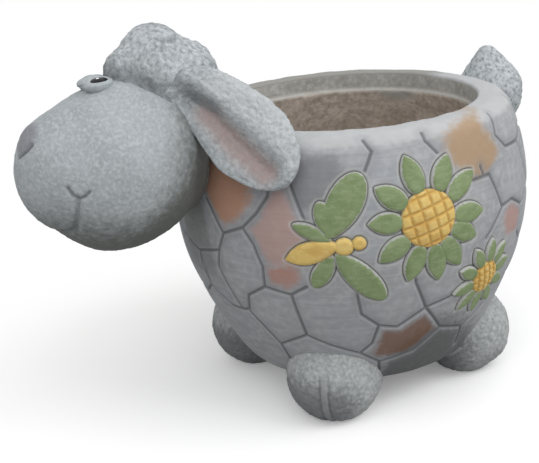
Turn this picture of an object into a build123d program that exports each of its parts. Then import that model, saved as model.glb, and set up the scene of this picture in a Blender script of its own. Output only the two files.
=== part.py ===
"""Cast cement planter in the shape of a standing sheep, built as separate castings.

The sheep faces -Y, +Z is up and the ground is z = 0. Sizes are in millimetres and angles in degrees.
"""

import math
import os

from build123d import *

# Body of the planter: a bowl turned about an upright axis
rim_z = 217.0
shoulder_round = 16.0
belly_r = 133.5
belly_drop = 67.0            # widest place below the rim
belly_curve = 160.0
flank_angle = 20.0           # where the belly's curve runs into the flatter flank
base_inset = 47.5            # base inside the belly
base_z = 22.0
base_round = 22.0
wall = 14.0
floor_thick = 18.0
floor_round = 10.0
mouth_inset = 33.5           # mouth inside the belly
collar_h = 20.0
rim_round = 4.0
drain_r = 11.0

# Head, an egg about the line of the muzzle
head_sink = 2.9              # back of the egg inside the line of the pot's wall
head_drop = 14.0             # head centre below the rim
head_half_len = 63.5
head_r = 54.3
muzzle_lift = 8.7
neck_r = 20.0
neck_drop = 29.0

# Wool cap, lobes as (sideways, behind head centre, above head centre, radius)
cap_lobes = (
    (0.0, 38.0, 42.0, 33.0),
    (0.0, 39.0, 66.0, 25.0),
    (0.0, 18.0, 60.0, 17.0),
    (0.0, 62.0, 57.0, 23.0),
    (24.0, 32.0, 54.0, 19.0),
    (-24.0, 32.0, 54.0, 19.0),
)

# Ear, a leaf with a dished face
ear_root = (32.0, 46.2, 52.0)         # sideways, behind head centre, above head centre
ear_face = (0.722, -0.643, 0.256)
ear_run = (0.611, 0.418, -0.672)
ear_mid = 42.0
ear_half_len = 52.0
ear_half_w = 25.5
ear_thick = 16.0
ear_edge = 7.0
ear_lip = 9.0
ear_dish = 7.0

# Eye, a ball standing out of the forehead with a flat dark pupil
eye_side = 7.5
eye_ahead = 4.5
eye_sink = 1.3
eye_r = 10.0
eye_split = 0.3              # half the gap between the two eyes
eye_lean = 25.0
pupil_half_w = 4.5
pupil_half_h = 6.0
pupil_thick = 1.2

# Tail, a teardrop against the back wall
tail_sink = 4.2              # front of the teardrop inside the line of the pot's wall
tail_drop_z = 16.0           # middle of the tail below the rim
tail_r = 26.0
tail_half_h = 34.0
tail_lean = 6.0

# Feet
foot_inset = 0.6             # foot centre inside the edge of the base
foot_turn = 44.0
foot_r = 35.0
foot_half_h = 27.0
foot_mid_z = 25.5
cleft_deep = 5.0
tip_flat = 6.0               # angle of the small flat at either tip of a turned oval

# Mortar beds and steel dowels
bed = 2.5
pin_gap = 0.15
neck_pin_r = 4.0
neck_pin_side = 11.0
neck_pin_in = 42.0
wall_hold = 10.0
cap_pin_r = 4.0
cap_pin_behind = 34.0
cap_pin_in = 24.0
cap_pin_up = 24.0
ear_pin_r = 2.5
ear_pin_low = 3.5
ear_pin_in_cap = 20.0
ear_pin_in_ear = 26.0
tail_pin_r = 4.0
tail_pin_in = 20.0
foot_pin_r = 4.0
foot_pin_low = 6.0
foot_pin_high = 27.0
foot_pin_inset = 6.0

# Raised flowers and dragonfly on the flanks
relief = 3.0
relief_reach = 40.0
sun_azimuth = 78.0
sun_z = 160.0
sun_disc_r = 20.0
sun_tip_r = 45.0
sun_petals = 11
sun_petal_half_w = 7.8
sun_turn = -10.0
bud_azimuth = 101.5
bud_z = 102.0
bud_disc_r = 9.0
bud_tip_r = 30.0
bud_petals = 9
bud_petal_half_w = 5.5
bud_turn = 0.0
petal_gap = 0.8
fly_azimuth = 52.5
fly_z = 148.0
fly_gap = 0.8
fly_abdomen = (-19.0, -4.7, 18.0, 8.5, 17.0)     # across, up, half length, half width, turn
fly_thorax = (3.5, -0.4, 6.3)                    # across, up, radius
fly_head = (13.5, 1.4, 4.8)
fly_wings = (
    (3.0, 27.0, 22.0, 13.0, 58.0),
    (-17.0, 9.0, 13.0, 4.5, 155.0),
    (13.0, -24.0, 26.0, 10.5, -52.0),
    (-11.0, -18.0, 15.0, 7.5, -125.0),
)

# Paving joints cut into the outside of the left half, as lines of (azimuth, height above the belly)
joint_w = 3.2
joint_deep = 1.6
blade_over = 3.2             # cutting blade above the wall
paving_joints = (
    ((32, 31), (23, 7), (15, 0), (12, -14), (0, -21)),
    ((23, 7), (28.5, -20), (28, -36), (20.5, -46), (14.5, -62), (0, -55)),
    ((12, -14), (10, -28), (14.5, -62), (26, -89), (38.5, -76)),
    ((28, -36), (37, -40), (38.5, -76), (57, -91), (63.7, -67.5), (58, -56), (57, -46)),
    ((57, -91), (76, -97), (87.3, -80), (79.3, -58), (86.5, -55.5)),
    ((63.7, -67.5), (70, -71), (79.3, -58), (75, -38)),
    ((87.3, -80), (100, -89), (109, -78), (124, -58)),
    ((112.5, 60), (110.5, 50), (115, 40), (126, 38)),
    ((96.5, 27.5), (103, 27.5), (107.8, 2), (122, -6), (135, -1), (146, -9), (160, -4), (175, -10)),
    ((126, 38), (137, 44), (150, 36), (163, 40)),
    ((126, 38), (129, 18), (135, -1)),
    ((150, 36), (154, 16), (160, -4)),
    ((122, -6), (121, -26), (127, -38), (139, -35), (146, -9)),
    ((127, -38), (124, -58), (132, -72), (147, -66), (150, -45), (139, -35)),
    ((150, -45), (165, -40), (168, -8)),
    ((147, -66), (160, -74), (172, -66), (165, -40)),
)

# Worked out from the above
belly_z = rim_z - belly_drop
base_r = belly_r - base_inset
mouth_r = belly_r - mouth_inset
neck_z = rim_z - neck_drop
head_z = rim_z - head_drop
tail_z = rim_z - tail_drop_z
foot_diag = base_r - foot_inset
foot_side = foot_diag * math.sin(math.radians(foot_turn))
foot_reach = foot_diag * math.cos(math.radians(foot_turn))
belly_cx = belly_r - belly_curve
shoulder_cz = rim_z - shoulder_round
shoulder_angle = math.degrees(math.asin((shoulder_cz - belly_z) / (belly_curve - shoulder_round)))
shoulder_cx = belly_cx + (belly_curve - shoulder_round) * math.cos(math.radians(shoulder_angle))
shoulder_z = belly_z + belly_curve * math.sin(math.radians(shoulder_angle))
blend_x = math.cos(math.radians(-flank_angle))
blend_z = math.sin(math.radians(-flank_angle))
join_r = belly_cx + belly_curve * blend_x
join_z = belly_z + belly_curve * blend_z
drop_r = base_r - join_r
drop_z = base_z - join_z
flank_curve = -(drop_r ** 2 + drop_z ** 2) / (2 * (drop_r * blend_x + drop_z * blend_z))
flank_cx = join_r - flank_curve * blend_x
flank_cz = join_z - flank_curve * blend_z
base_cz = base_z + base_round
base_angle = math.degrees(math.asin((base_cz - flank_cz) / (flank_curve - base_round)))
base_cx = flank_cx + (flank_curve - base_round) * math.cos(math.radians(base_angle))
floor_z = base_z + floor_thick
floor_cz = floor_z + floor_round
floor_angle = math.degrees(math.asin((floor_cz - flank_cz) / (flank_curve - wall - floor_round)))
floor_cx = flank_cx + (flank_curve - wall - floor_round) * math.cos(math.radians(floor_angle))
ledge_z = rim_z - collar_h
ledge_angle = math.degrees(math.asin((ledge_z - belly_z) / (belly_curve - wall)))
lift = math.radians(muzzle_lift)
lean = math.radians(tail_lean)


def pot_radius(z):
    """Outside radius of the pot at a height."""
    if z > shoulder_z:
        return shoulder_cx + math.sqrt(shoulder_round ** 2 - (z - shoulder_cz) ** 2)
    if z > join_z:
        return belly_cx + math.sqrt(belly_curve ** 2 - (z - belly_z) ** 2)
    return flank_cx + math.sqrt(flank_curve ** 2 - (z - flank_cz) ** 2)


# Head and tail stand on the wall, and the whole length is centred on the origin
head_ahead = pot_radius(neck_z) + head_half_len - head_sink
tail_behind = pot_radius(tail_z) + tail_r - tail_sink
front_reach = head_ahead + math.hypot(head_half_len * math.cos(lift), head_r * math.sin(lift))
rear_reach = tail_behind + math.hypot(tail_r * math.cos(lean), tail_half_h * math.sin(lean))
pot_axis_y = (front_reach - rear_reach) / 2
head_y = pot_axis_y - head_ahead

pot_plane = Plane(origin=(0, pot_axis_y, 0), x_dir=(1, 0, 0), z_dir=(0, -1, 0))
pot_axis = Axis((0, pot_axis_y, 0), (0, 0, 1))
muzzle_plane = Plane(origin=(0, head_y, head_z), x_dir=(0, -math.cos(lift), math.sin(lift)), z_dir=(-1, 0, 0))
muzzle_axis = Axis((0, head_y, head_z), (0, -math.cos(lift), math.sin(lift)))
ear_plane = Plane(
    origin=(ear_root[0], head_y + ear_root[1], head_z + ear_root[2]), x_dir=ear_run, z_dir=ear_face
)


def pot_form(grow):
    """Full solid of the pot's outside, grown all round."""
    with BuildPart() as form:
        with BuildSketch(pot_plane):
            with BuildLine():
                base = CenterArc((base_cx, base_cz), base_round + grow, -90, 90 + base_angle)
                CenterArc((flank_cx, flank_cz), flank_curve + grow, base_angle, -flank_angle - base_angle)
                CenterArc((belly_cx, belly_z), belly_curve + grow, -flank_angle, flank_angle + shoulder_angle)
                shoulder = CenterArc(
                    (shoulder_cx, shoulder_cz), shoulder_round + grow, shoulder_angle, 90 - shoulder_angle
                )
                low = base @ 0
                top = shoulder @ 1
                Polyline(top, (0, top.Y), (0, low.Y), low)
            make_face()
        revolve(axis=pot_axis)
    return form.part


def head_form(grow):
    """Full egg of the head, grown all round."""
    with BuildPart() as form:
        with BuildSketch(muzzle_plane):
            with BuildLine():
                egg = EllipticalCenterArc((0, 0), head_half_len + grow, head_r + grow, 0, arc_size=180)
                Line(egg @ 1, egg @ 0)
            make_face()
        revolve(axis=muzzle_axis)
    return form.part


def cap_form(grow):
    """Lobes of the wool cap, grown all round."""
    with BuildPart() as form:
        for side, behind, above, radius in cap_lobes:
            with Locations((side, head_y + behind, head_z + above)):
                Sphere(radius + grow)
    return form.part


def pin(base, direction, radius, length):
    """Round bar from a point along a direction."""
    with BuildPart() as bar:
        with BuildSketch(Plane(origin=base, z_dir=direction)):
            Circle(radius)
        extrude(amount=length)
    return bar.part


def flank_plane(azimuth, height):
    """Plane on the pot's outside, its x to the rear and its normal outwards."""
    turn = math.radians(azimuth)
    out = (math.sin(turn), -math.cos(turn), 0)
    along = (math.cos(turn), math.sin(turn), 0)
    r = pot_radius(height)
    return Plane(origin=(r * out[0], pot_axis_y + r * out[1], height), x_dir=along, z_dir=out)


def pot_point(azimuth, height):
    """Point on the pot's outside."""
    turn = math.radians(azimuth)
    r = pot_radius(height)
    return Vector(r * math.sin(turn), pot_axis_y - r * math.cos(turn), height)


def joint_blades():
    """Three sided blades that cut the paving joints of both halves."""
    half_top = joint_w / 2 * (1 + blade_over / joint_deep)
    blades = []
    for line in paving_joints:
        corners = [pot_point(azimuth, belly_z + above) for azimuth, above in line]
        for start, end in zip(corners[:-1], corners[1:]):
            run = (end - start).normalized()
            middle = (start + end) / 2
            out = Vector(middle.X, middle.Y - pot_axis_y, 0)
            with BuildPart() as blade:
                with BuildSketch(Plane(origin=start - run * joint_w / 2, x_dir=out.cross(run), z_dir=run)):
                    Polygon((0, -joint_deep), (half_top, blade_over), (-half_top, blade_over), align=None)
                extrude(amount=(end - start).length + joint_w)
            blades += [blade.part, blade.part.mirror(Plane.YZ)]
    return blades


def save(part, label):
    """Names a piece and writes it."""
    part.label = label
    export_step(part, f"parts/{label}.step")


os.makedirs("parts", exist_ok=True)

pot_solid = pot_form(0)
pot_bed = pot_form(bed)
relief_skin = pot_form(relief)
head_solid = head_form(0)
head_bed = head_form(bed)
cap_solid = cap_form(0)
cap_clear = cap_form(bed)

# Places of the dowels
neck_pin_end = math.sqrt((pot_radius(neck_z) - wall_hold) ** 2 - neck_pin_side ** 2)
neck_pin_start = head_ahead - head_half_len + neck_pin_in
neck_pins = [(side * neck_pin_side, pot_axis_y - neck_pin_start, neck_z) for side in (-1, 1)]
tail_pin_start = pot_radius(tail_z) - wall_hold
tail_pin_len = tail_behind + tail_pin_in - tail_r - tail_pin_start
pin_share = (foot_diag - foot_pin_inset) / foot_diag
foot_spots = {
    "front_left": (1, -1),
    "front_right": (-1, -1),
    "rear_left": (1, 1),
    "rear_right": (-1, 1),
}
ear_pin_dir = ear_plane.x_dir
ear_pin_base = ear_plane.origin - ear_pin_dir * ear_pin_in_cap - ear_plane.z_dir * ear_pin_low


def neck_bars(grow):
    """Both neck dowels."""
    with BuildPart() as bars:
        for spot in neck_pins:
            add(pin((spot[0], spot[1] - grow, spot[2]), (0, 1, 0), neck_pin_r + grow,
                    neck_pin_start - neck_pin_end + 2 * grow))
    return bars.part


def foot_bars(grow):
    """All four foot dowels."""
    with BuildPart() as bars:
        for side, way in foot_spots.values():
            spot = (side * foot_side * pin_share, pot_axis_y + way * foot_reach * pin_share, foot_pin_low - grow)
            add(pin(spot, (0, 0, 1), foot_pin_r + grow, foot_pin_high - foot_pin_low + 2 * grow))
    return bars.part


def tail_bar(grow):
    """The tail's dowel."""
    return pin((0, pot_axis_y + tail_pin_start - grow, tail_z), (0, 1, 0), tail_pin_r + grow,
               tail_pin_len + 2 * grow)


def ear_bar(grow):
    """The left ear's dowel."""
    return pin(ear_pin_base - ear_pin_dir * grow, ear_pin_dir, ear_pin_r + grow,
               ear_pin_in_cap + ear_pin_in_ear + 2 * grow)


def cap_bar(grow):
    """The wool cap's dowel."""
    seat = head_z + head_r * math.sqrt(1 - (cap_pin_behind / head_half_len) ** 2)
    return pin((0, head_y + cap_pin_behind, seat - cap_pin_in - grow), (0, 0, 1), cap_pin_r + grow,
               cap_pin_in + cap_pin_up + 2 * grow)


neck_hole = neck_bars(pin_gap)
foot_hole = foot_bars(pin_gap)
tail_hole = tail_bar(pin_gap)
cap_hole = cap_bar(pin_gap)
left_ear_hole = ear_bar(pin_gap)
right_ear_hole = left_ear_hole.mirror(Plane.YZ)

# Body
with BuildPart() as pot_shell:
    add(pot_solid)
    with BuildSketch(pot_plane):
        with BuildLine():
            inner_belly = CenterArc(
                (belly_cx, belly_z), belly_curve - wall, -flank_angle, flank_angle + ledge_angle
            )
            CenterArc((flank_cx, flank_cz), flank_curve - wall, floor_angle, -flank_angle - floor_angle)
            inner_floor = CenterArc((floor_cx, floor_cz), floor_round, -90, 90 + floor_angle)
            Polyline(
                inner_belly @ 1,
                (mouth_r, ledge_z),
                (mouth_r, rim_z + bed),
                (0, rim_z + bed),
                (0, floor_z),
                inner_floor @ 0,
            )
        make_face()
    revolve(axis=pot_axis, mode=Mode.SUBTRACT)
    fillet(pot_shell.edges().filter_by(GeomType.CIRCLE).filter_by_position(Axis.Z, rim_z - 0.1, rim_z + 0.1),
           rim_round)
    with BuildSketch(Plane(origin=(0, pot_axis_y, base_z))):
        Circle(drain_r)
    extrude(amount=floor_thick, mode=Mode.SUBTRACT)
    add(neck_hole, mode=Mode.SUBTRACT)
    add(foot_hole, mode=Mode.SUBTRACT)
    add(tail_hole, mode=Mode.SUBTRACT)
    add(joint_blades(), mode=Mode.SUBTRACT)
save(pot_shell.part, "pot_shell")

# Head with its neck
neck_plane = Plane(origin=(0, head_y, neck_z), x_dir=(1, 0, 0), z_dir=(0, 1, 0))
with BuildPart() as neck_stem:
    with BuildSketch(neck_plane):
        Circle(neck_r)
    extrude(amount=head_ahead - pot_radius(neck_z) + wall)
with BuildPart() as head:
    add(head_solid)
    add(neck_stem.part)
    add(pot_bed, mode=Mode.SUBTRACT)
    add(neck_hole, mode=Mode.SUBTRACT)
    add(cap_hole, mode=Mode.SUBTRACT)
save(head.part, "head")

with BuildPart() as neck_mortar:
    add(head_solid)
    add(neck_stem.part)
    add(pot_bed, mode=Mode.INTERSECT)
    add(pot_solid, mode=Mode.SUBTRACT)
    add(neck_hole, mode=Mode.SUBTRACT)
save(neck_mortar.part, "neck_mortar")

save(neck_bars(0), "neck_dowels")

# Eyes
eye_plane = Plane(
    origin=(eye_side, head_y - eye_ahead, head_z + head_r - eye_sink),
    x_dir=(1, 0, 0),
    z_dir=(0, -math.sin(math.radians(eye_lean)), math.cos(math.radians(eye_lean))),
)
with BuildPart() as eye_ball:
    with Locations(eye_plane.origin):
        Sphere(eye_r)
with BuildPart() as pupil_skin:
    with Locations(eye_plane.origin):
        Sphere(eye_r + pupil_thick)
with BuildPart() as left_eye:
    add(eye_ball.part)
    split(bisect_by=Plane.YZ.offset(eye_split), keep=Keep.TOP)
    add(head_solid, mode=Mode.SUBTRACT)
    add(cap_clear, mode=Mode.SUBTRACT)
with BuildPart() as left_pupil:
    with BuildSketch(eye_plane):
        Ellipse(pupil_half_w, pupil_half_h)
    extrude(amount=eye_r + pupil_thick * 2)
    add(pupil_skin.part, mode=Mode.INTERSECT)
    add(eye_ball.part, mode=Mode.SUBTRACT)
    add(cap_clear, mode=Mode.SUBTRACT)
    split(bisect_by=Plane.YZ.offset(eye_split), keep=Keep.TOP)
with BuildPart() as right_eye:
    mirror(left_eye.part, about=Plane.YZ)
with BuildPart() as right_pupil:
    mirror(left_pupil.part, about=Plane.YZ)
save(left_eye.part, "left_eye")
save(right_eye.part, "right_eye")
save(left_pupil.part, "left_pupil")
save(right_pupil.part, "right_pupil")

# Ears, the dish cut by a long ball that dips into the face
dish_half_w = ear_half_w - ear_lip
dish_r = (dish_half_w ** 2 + ear_dish ** 2) / (2 * ear_dish)
dish_len = (ear_half_len - ear_lip) / math.sqrt(1 - ((dish_r - ear_dish) / dish_r) ** 2)
dish_plane = Plane(
    origin=ear_plane.origin + ear_plane.x_dir * ear_mid + ear_plane.z_dir * (ear_thick / 2 + dish_r - ear_dish),
    x_dir=ear_plane.x_dir,
    z_dir=ear_plane.z_dir,
)
with BuildPart() as ear_leaf:
    with BuildSketch(ear_plane.offset(-ear_thick / 2)):
        with Locations((ear_mid, 0)):
            Ellipse(ear_half_len, ear_half_w)
    extrude(amount=ear_thick)
    fillet(ear_leaf.edges().filter_by(GeomType.ELLIPSE), ear_edge)
    with BuildSketch(dish_plane):
        with BuildLine():
            bowl = EllipticalCenterArc((0, 0), dish_len, dish_r, 0, arc_size=180)
            Line(bowl @ 1, bowl @ 0)
        make_face()
    revolve(axis=Axis(dish_plane.origin, dish_plane.x_dir), mode=Mode.SUBTRACT)
with BuildPart() as left_ear:
    add(ear_leaf.part)
    add(head_bed, mode=Mode.SUBTRACT)
    add(cap_clear, mode=Mode.SUBTRACT)
    add(pot_bed, mode=Mode.SUBTRACT)
    add(left_ear_hole, mode=Mode.SUBTRACT)
with BuildPart() as left_ear_mortar:
    add(ear_leaf.part)
    add(cap_clear, mode=Mode.INTERSECT)
    add(cap_solid, mode=Mode.SUBTRACT)
    add(head_bed, mode=Mode.SUBTRACT)
    add(pot_bed, mode=Mode.SUBTRACT)
    add(left_ear_hole, mode=Mode.SUBTRACT)
with BuildPart() as left_ear_dowel:
    add(ear_bar(0))
with BuildPart() as right_ear:
    mirror(left_ear.part, about=Plane.YZ)
with BuildPart() as right_ear_mortar:
    mirror(left_ear_mortar.part, about=Plane.YZ)
with BuildPart() as right_ear_dowel:
    mirror(left_ear_dowel.part, about=Plane.YZ)
save(left_ear.part, "left_ear")
save(right_ear.part, "right_ear")
save(left_ear_mortar.part, "left_ear_mortar")
save(right_ear_mortar.part, "right_ear_mortar")
save(left_ear_dowel.part, "left_ear_dowel")
save(right_ear_dowel.part, "right_ear_dowel")

# Wool cap
with BuildPart() as wool_cap:
    add(cap_solid)
    add(head_bed, mode=Mode.SUBTRACT)
    add(pot_bed, mode=Mode.SUBTRACT)
    add(cap_hole, mode=Mode.SUBTRACT)
    add(left_ear_hole, mode=Mode.SUBTRACT)
    add(right_ear_hole, mode=Mode.SUBTRACT)
with BuildPart() as cap_mortar:
    add(cap_solid)
    add(head_bed, mode=Mode.INTERSECT)
    add(head_solid, mode=Mode.SUBTRACT)
    add(pot_bed, mode=Mode.SUBTRACT)
    add(cap_hole, mode=Mode.SUBTRACT)
save(wool_cap.part, "wool_cap")
save(cap_bar(0), "cap_dowel")
save(cap_mortar.part, "cap_mortar")

# Tail
tail_plane = Plane(
    origin=(0, pot_axis_y + tail_behind, tail_z), x_dir=(0, math.cos(lean), -math.sin(lean)), z_dir=(1, 0, 0)
)
with BuildPart() as tail_drop:
    with BuildSketch(tail_plane):
        with BuildLine():
            side = EllipticalCenterArc((0, 0), tail_r, tail_half_h, tip_flat - 90, arc_size=180 - 2 * tip_flat)
            Polyline(side @ 1, (0, (side @ 1).Y), (0, (side @ 0).Y), side @ 0)
        make_face()
    revolve(axis=Axis(tail_plane.origin, tail_plane.y_dir))
with BuildPart() as tail:
    add(tail_drop.part)
    add(pot_bed, mode=Mode.SUBTRACT)
    add(tail_hole, mode=Mode.SUBTRACT)
with BuildPart() as tail_mortar:
    add(tail_drop.part)
    add(pot_bed, mode=Mode.INTERSECT)
    add(pot_solid, mode=Mode.SUBTRACT)
    add(tail_hole, mode=Mode.SUBTRACT)
save(tail.part, "tail")
save(tail_mortar.part, "tail_mortar")
save(tail_bar(0), "tail_dowel")


# Feet
def foot_form(side, way):
    """One foot before it is cut to the body: a ball with a flat sole and a cleft toe."""
    spot = Vector(side * foot_side, pot_axis_y + way * foot_reach, foot_mid_z)
    out = (side * foot_side, way * foot_reach, 0)
    with BuildPart() as foot:
        with BuildSketch(Plane(origin=spot, x_dir=out, z_dir=(-out[1], out[0], 0))):
            with BuildLine():
                side_arc = EllipticalCenterArc(
                    (0, 0), foot_r, foot_half_h, tip_flat - 90, arc_size=180 - 2 * tip_flat
                )
                Polyline(side_arc @ 1, (0, (side_arc @ 1).Y), (0, (side_arc @ 0).Y), side_arc @ 0)
            make_face()
        revolve(axis=Axis(spot, (0, 0, 1)))
        split(bisect_by=Plane.XY, keep=Keep.TOP)
        with BuildSketch(Plane(origin=(spot.X, spot.Y, -1), x_dir=out, z_dir=(0, 0, 1))):
            with Locations((foot_r, 0)):
                RegularPolygon(cleft_deep, 3, rotation=180)
        extrude(amount=foot_mid_z + foot_half_h, mode=Mode.SUBTRACT)
    return foot.part


feet = {name: foot_form(*spot) for name, spot in foot_spots.items()}
for name, form in feet.items():
    with BuildPart() as foot:
        add(form)
        add(pot_bed, mode=Mode.SUBTRACT)
        add(foot_hole, mode=Mode.SUBTRACT)
    save(foot.part, f"{name}_foot")
with BuildPart() as foot_mortar:
    for form in feet.values():
        add(form)
    add(pot_bed, mode=Mode.INTERSECT)
    add(pot_solid, mode=Mode.SUBTRACT)
    add(foot_hole, mode=Mode.SUBTRACT)
save(foot_mortar.part, "foot_mortar")
save(foot_bars(0), "foot_dowels")


# Relief on the flanks
def skin_piece(form):
    """Keeps the part of a form that lies in the relief's thickness on the pot."""
    with BuildPart() as piece:
        add(form)
        add(relief_skin, mode=Mode.INTERSECT)
        add(pot_solid, mode=Mode.SUBTRACT)
    return piece.part


fly_plane = flank_plane(fly_azimuth, fly_z)


def fly_leaf(leaf, grow):
    """One turned oval of the dragonfly, in the open sketch."""
    across, up, half_l, half_w, turn = leaf
    with Locations((across, up)):
        Ellipse(half_l + grow, half_w + grow, rotation=turn)


def fly_body(grow):
    """Abdomen, thorax and head of the dragonfly."""
    with BuildPart() as form:
        with BuildSketch(fly_plane):
            fly_leaf(fly_abdomen, grow)
            for across, up, radius in (fly_thorax, fly_head):
                with Locations((across, up)):
                    Circle(radius + grow)
        extrude(amount=relief_reach, both=True)
    return form.part


fly_body_form = fly_body(0)
fly_body_clear = fly_body(fly_gap)
with BuildPart() as fly_wing_form:
    with BuildSketch(fly_plane):
        for wing in fly_wings:
            fly_leaf(wing, 0)
    extrude(amount=relief_reach, both=True)
    add(fly_body_clear, mode=Mode.SUBTRACT)
with BuildPart() as fly_clear:
    with BuildSketch(fly_plane):
        for wing in fly_wings:
            fly_leaf(wing, fly_gap)
    extrude(amount=relief_reach, both=True)
    add(fly_body_clear)


def flower(azimuth, height, disc_r, tip_r, count, half_w, turn):
    """Disc and ring of petals of one flower."""
    plane = flank_plane(azimuth, height)
    inner = disc_r + petal_gap
    half_l = (tip_r - inner) / 2 + petal_gap
    with BuildPart() as disc:
        with BuildSketch(plane):
            Circle(disc_r)
        extrude(amount=relief_reach, both=True)
    with BuildPart() as petals:
        with BuildSketch(plane):
            with PolarLocations((tip_r + inner) / 2, count, start_angle=90 + turn):
                Ellipse(half_l, half_w)
            Circle(inner, mode=Mode.SUBTRACT)
        extrude(amount=relief_reach, both=True)
        add(fly_clear.part, mode=Mode.SUBTRACT)
    return skin_piece(disc.part), skin_piece(petals.part)


sun_disc, sun_ring = flower(sun_azimuth, sun_z, sun_disc_r, sun_tip_r, sun_petals, sun_petal_half_w, sun_turn)
bud_disc, bud_ring = flower(bud_azimuth, bud_z, bud_disc_r, bud_tip_r, bud_petals, bud_petal_half_w, bud_turn)

for label, shape in {
    "sunflower_disc": sun_disc,
    "sunflower_petals": sun_ring,
    "small_sunflower_disc": bud_disc,
    "small_sunflower_petals": bud_ring,
    "dragonfly_body": skin_piece(fly_body_form),
    "dragonfly_wings": skin_piece(fly_wing_form.part),
}.items():
    save(shape, f"left_{label}")
    with BuildPart() as other_side:
        mirror(shape, about=Plane.YZ)
    save(other_side.part, f"right_{label}")
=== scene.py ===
"""Looks of a cast cement sheep planter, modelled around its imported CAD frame.

Lengths are in metres, angles in degrees. The sheep faces -Y, its left side is +X and the ground is z = 0.
"""

import logging
import math
from collections.abc import Iterator
from contextlib import contextmanager
from dataclasses import dataclass
from enum import Enum

import bpy
import numpy as np
from mathutils import Matrix, Vector


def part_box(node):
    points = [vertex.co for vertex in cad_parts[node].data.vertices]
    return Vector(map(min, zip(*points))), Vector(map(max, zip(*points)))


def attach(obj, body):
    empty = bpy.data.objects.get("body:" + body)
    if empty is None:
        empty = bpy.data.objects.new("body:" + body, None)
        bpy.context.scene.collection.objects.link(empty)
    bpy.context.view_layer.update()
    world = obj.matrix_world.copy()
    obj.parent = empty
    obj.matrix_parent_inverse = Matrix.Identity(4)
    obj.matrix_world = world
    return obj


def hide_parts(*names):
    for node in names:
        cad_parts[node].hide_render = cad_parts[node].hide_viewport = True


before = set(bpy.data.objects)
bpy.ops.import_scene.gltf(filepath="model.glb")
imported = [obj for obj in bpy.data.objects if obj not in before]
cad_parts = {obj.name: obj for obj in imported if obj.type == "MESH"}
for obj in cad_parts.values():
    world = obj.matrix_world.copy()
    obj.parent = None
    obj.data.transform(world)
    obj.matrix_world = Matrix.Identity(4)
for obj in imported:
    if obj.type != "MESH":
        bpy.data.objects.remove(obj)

LOG = logging.getLogger("sheep_planter")
MM = 0.001
TINY = 1e-12
WELD = 0.02 * MM
CLOUD_DEPTH = 2
WEIGHT_STEPS = 8
NO_JOINT = 9.0
BODY = "root"
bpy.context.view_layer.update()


class Slot(Enum):
    """Material slots of the record, those of the pieces built here."""

    PAVING = "painted_paving"
    WOOL = "wool_cement"
    ROUGH = "rough_cement"
    PUPIL = "pupil_black"
    GREEN = "petal_green"
    YELLOW = "flower_yellow"
    MORTAR = "mortar"


class Side(Enum):
    """The sheep's left and right, as the sign of x."""

    LEFT = 1
    RIGHT = -1

    @property
    def word(self) -> str:
        """The side's name in lower case."""
        return self.name.lower()


# Mesh work


def deselect() -> None:
    """Leaves object mode on and nothing selected."""
    if bpy.context.object and bpy.context.object.mode != "OBJECT":
        bpy.ops.object.mode_set(mode="OBJECT")
    bpy.ops.object.select_all(action="DESELECT")


def activate(obj: bpy.types.Object) -> None:
    """Makes one object the only selected one."""
    deselect()
    obj.select_set(True)
    bpy.context.view_layer.objects.active = obj


@contextmanager
def editing(obj: bpy.types.Object, faces: np.ndarray | None = None) -> Iterator[None]:
    """Edit mode on one object.

    Args:
        obj: Mesh object.
        faces: True for each face that is selected, or nothing for all of them.
    """
    activate(obj)
    bpy.ops.object.mode_set(mode="EDIT")
    bpy.ops.mesh.select_mode(type="FACE")
    bpy.ops.mesh.select_all(action="SELECT" if faces is None else "DESELECT")
    if faces is not None:
        bpy.ops.object.mode_set(mode="OBJECT")
        obj.data.polygons.foreach_set("select", faces)
        bpy.ops.object.mode_set(mode="EDIT")
    yield
    bpy.ops.object.mode_set(mode="OBJECT")


def points(obj: bpy.types.Object) -> np.ndarray:
    """Vertices of a mesh, one row each."""
    flat = np.empty(len(obj.data.vertices) * 3, np.float32)
    obj.data.vertices.foreach_get("co", flat)
    return flat.reshape(-1, 3).astype(float)


def move_points(obj: bpy.types.Object, spots: np.ndarray) -> None:
    """Puts the vertices of a mesh in new places."""
    obj.data.vertices.foreach_set("co", spots.astype(np.float32).ravel())
    obj.data.update()


def store(obj: bpy.types.Object, name: str, values: np.ndarray) -> None:
    """Keeps one value for each vertex under a name that a material reads."""
    layer = obj.data.attributes.new(name, "FLOAT", "POINT")
    layer.data.foreach_set("value", values.astype(np.float32))


def modify(obj: bpy.types.Object, kind: str, **settings: object) -> None:
    """Adds a modifier with its settings and applies it.

    Args:
        obj: Mesh object that takes the modifier.
        kind: The modifier's type.
        settings: Values of the modifier's own fields.
    """
    activate(obj)
    modifier = obj.modifiers.new(kind.lower(), kind)
    for name, value in settings.items():
        setattr(modifier, name, value)
    bpy.ops.object.modifier_apply(modifier=modifier.name)


def roughen(obj: bpy.types.Object, grain: float, depth: float, group: str = "") -> None:
    """Displaces a surface by a cloud texture.

    Args:
        obj: Mesh object.
        grain: Size of the lumps.
        depth: Height from the lowest to the highest place.
        group: Vertex group that limits it, or nothing for all of the surface.
    """
    texture = bpy.data.textures.new(f"{obj.name}_clouds", "CLOUDS")
    texture.noise_scale, texture.noise_depth = grain, CLOUD_DEPTH
    modify(obj, "DISPLACE", texture=texture, strength=depth, mid_level=0.5,
           texture_coords="LOCAL", vertex_group=group)


def weigh(obj: bpy.types.Object, name: str, weights: np.ndarray) -> None:
    """Makes a vertex group, in a few steps of weight.

    Args:
        obj: Mesh object.
        name: The group's name.
        weights: One weight from 0 to 1 for each vertex.
    """
    group = obj.vertex_groups.new(name=name)
    steps = np.round(np.clip(weights, 0, 1) * WEIGHT_STEPS).astype(int)
    for step in range(1, WEIGHT_STEPS + 1):
        group.add(np.flatnonzero(steps == step).tolist(), step / WEIGHT_STEPS, "REPLACE")


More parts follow.
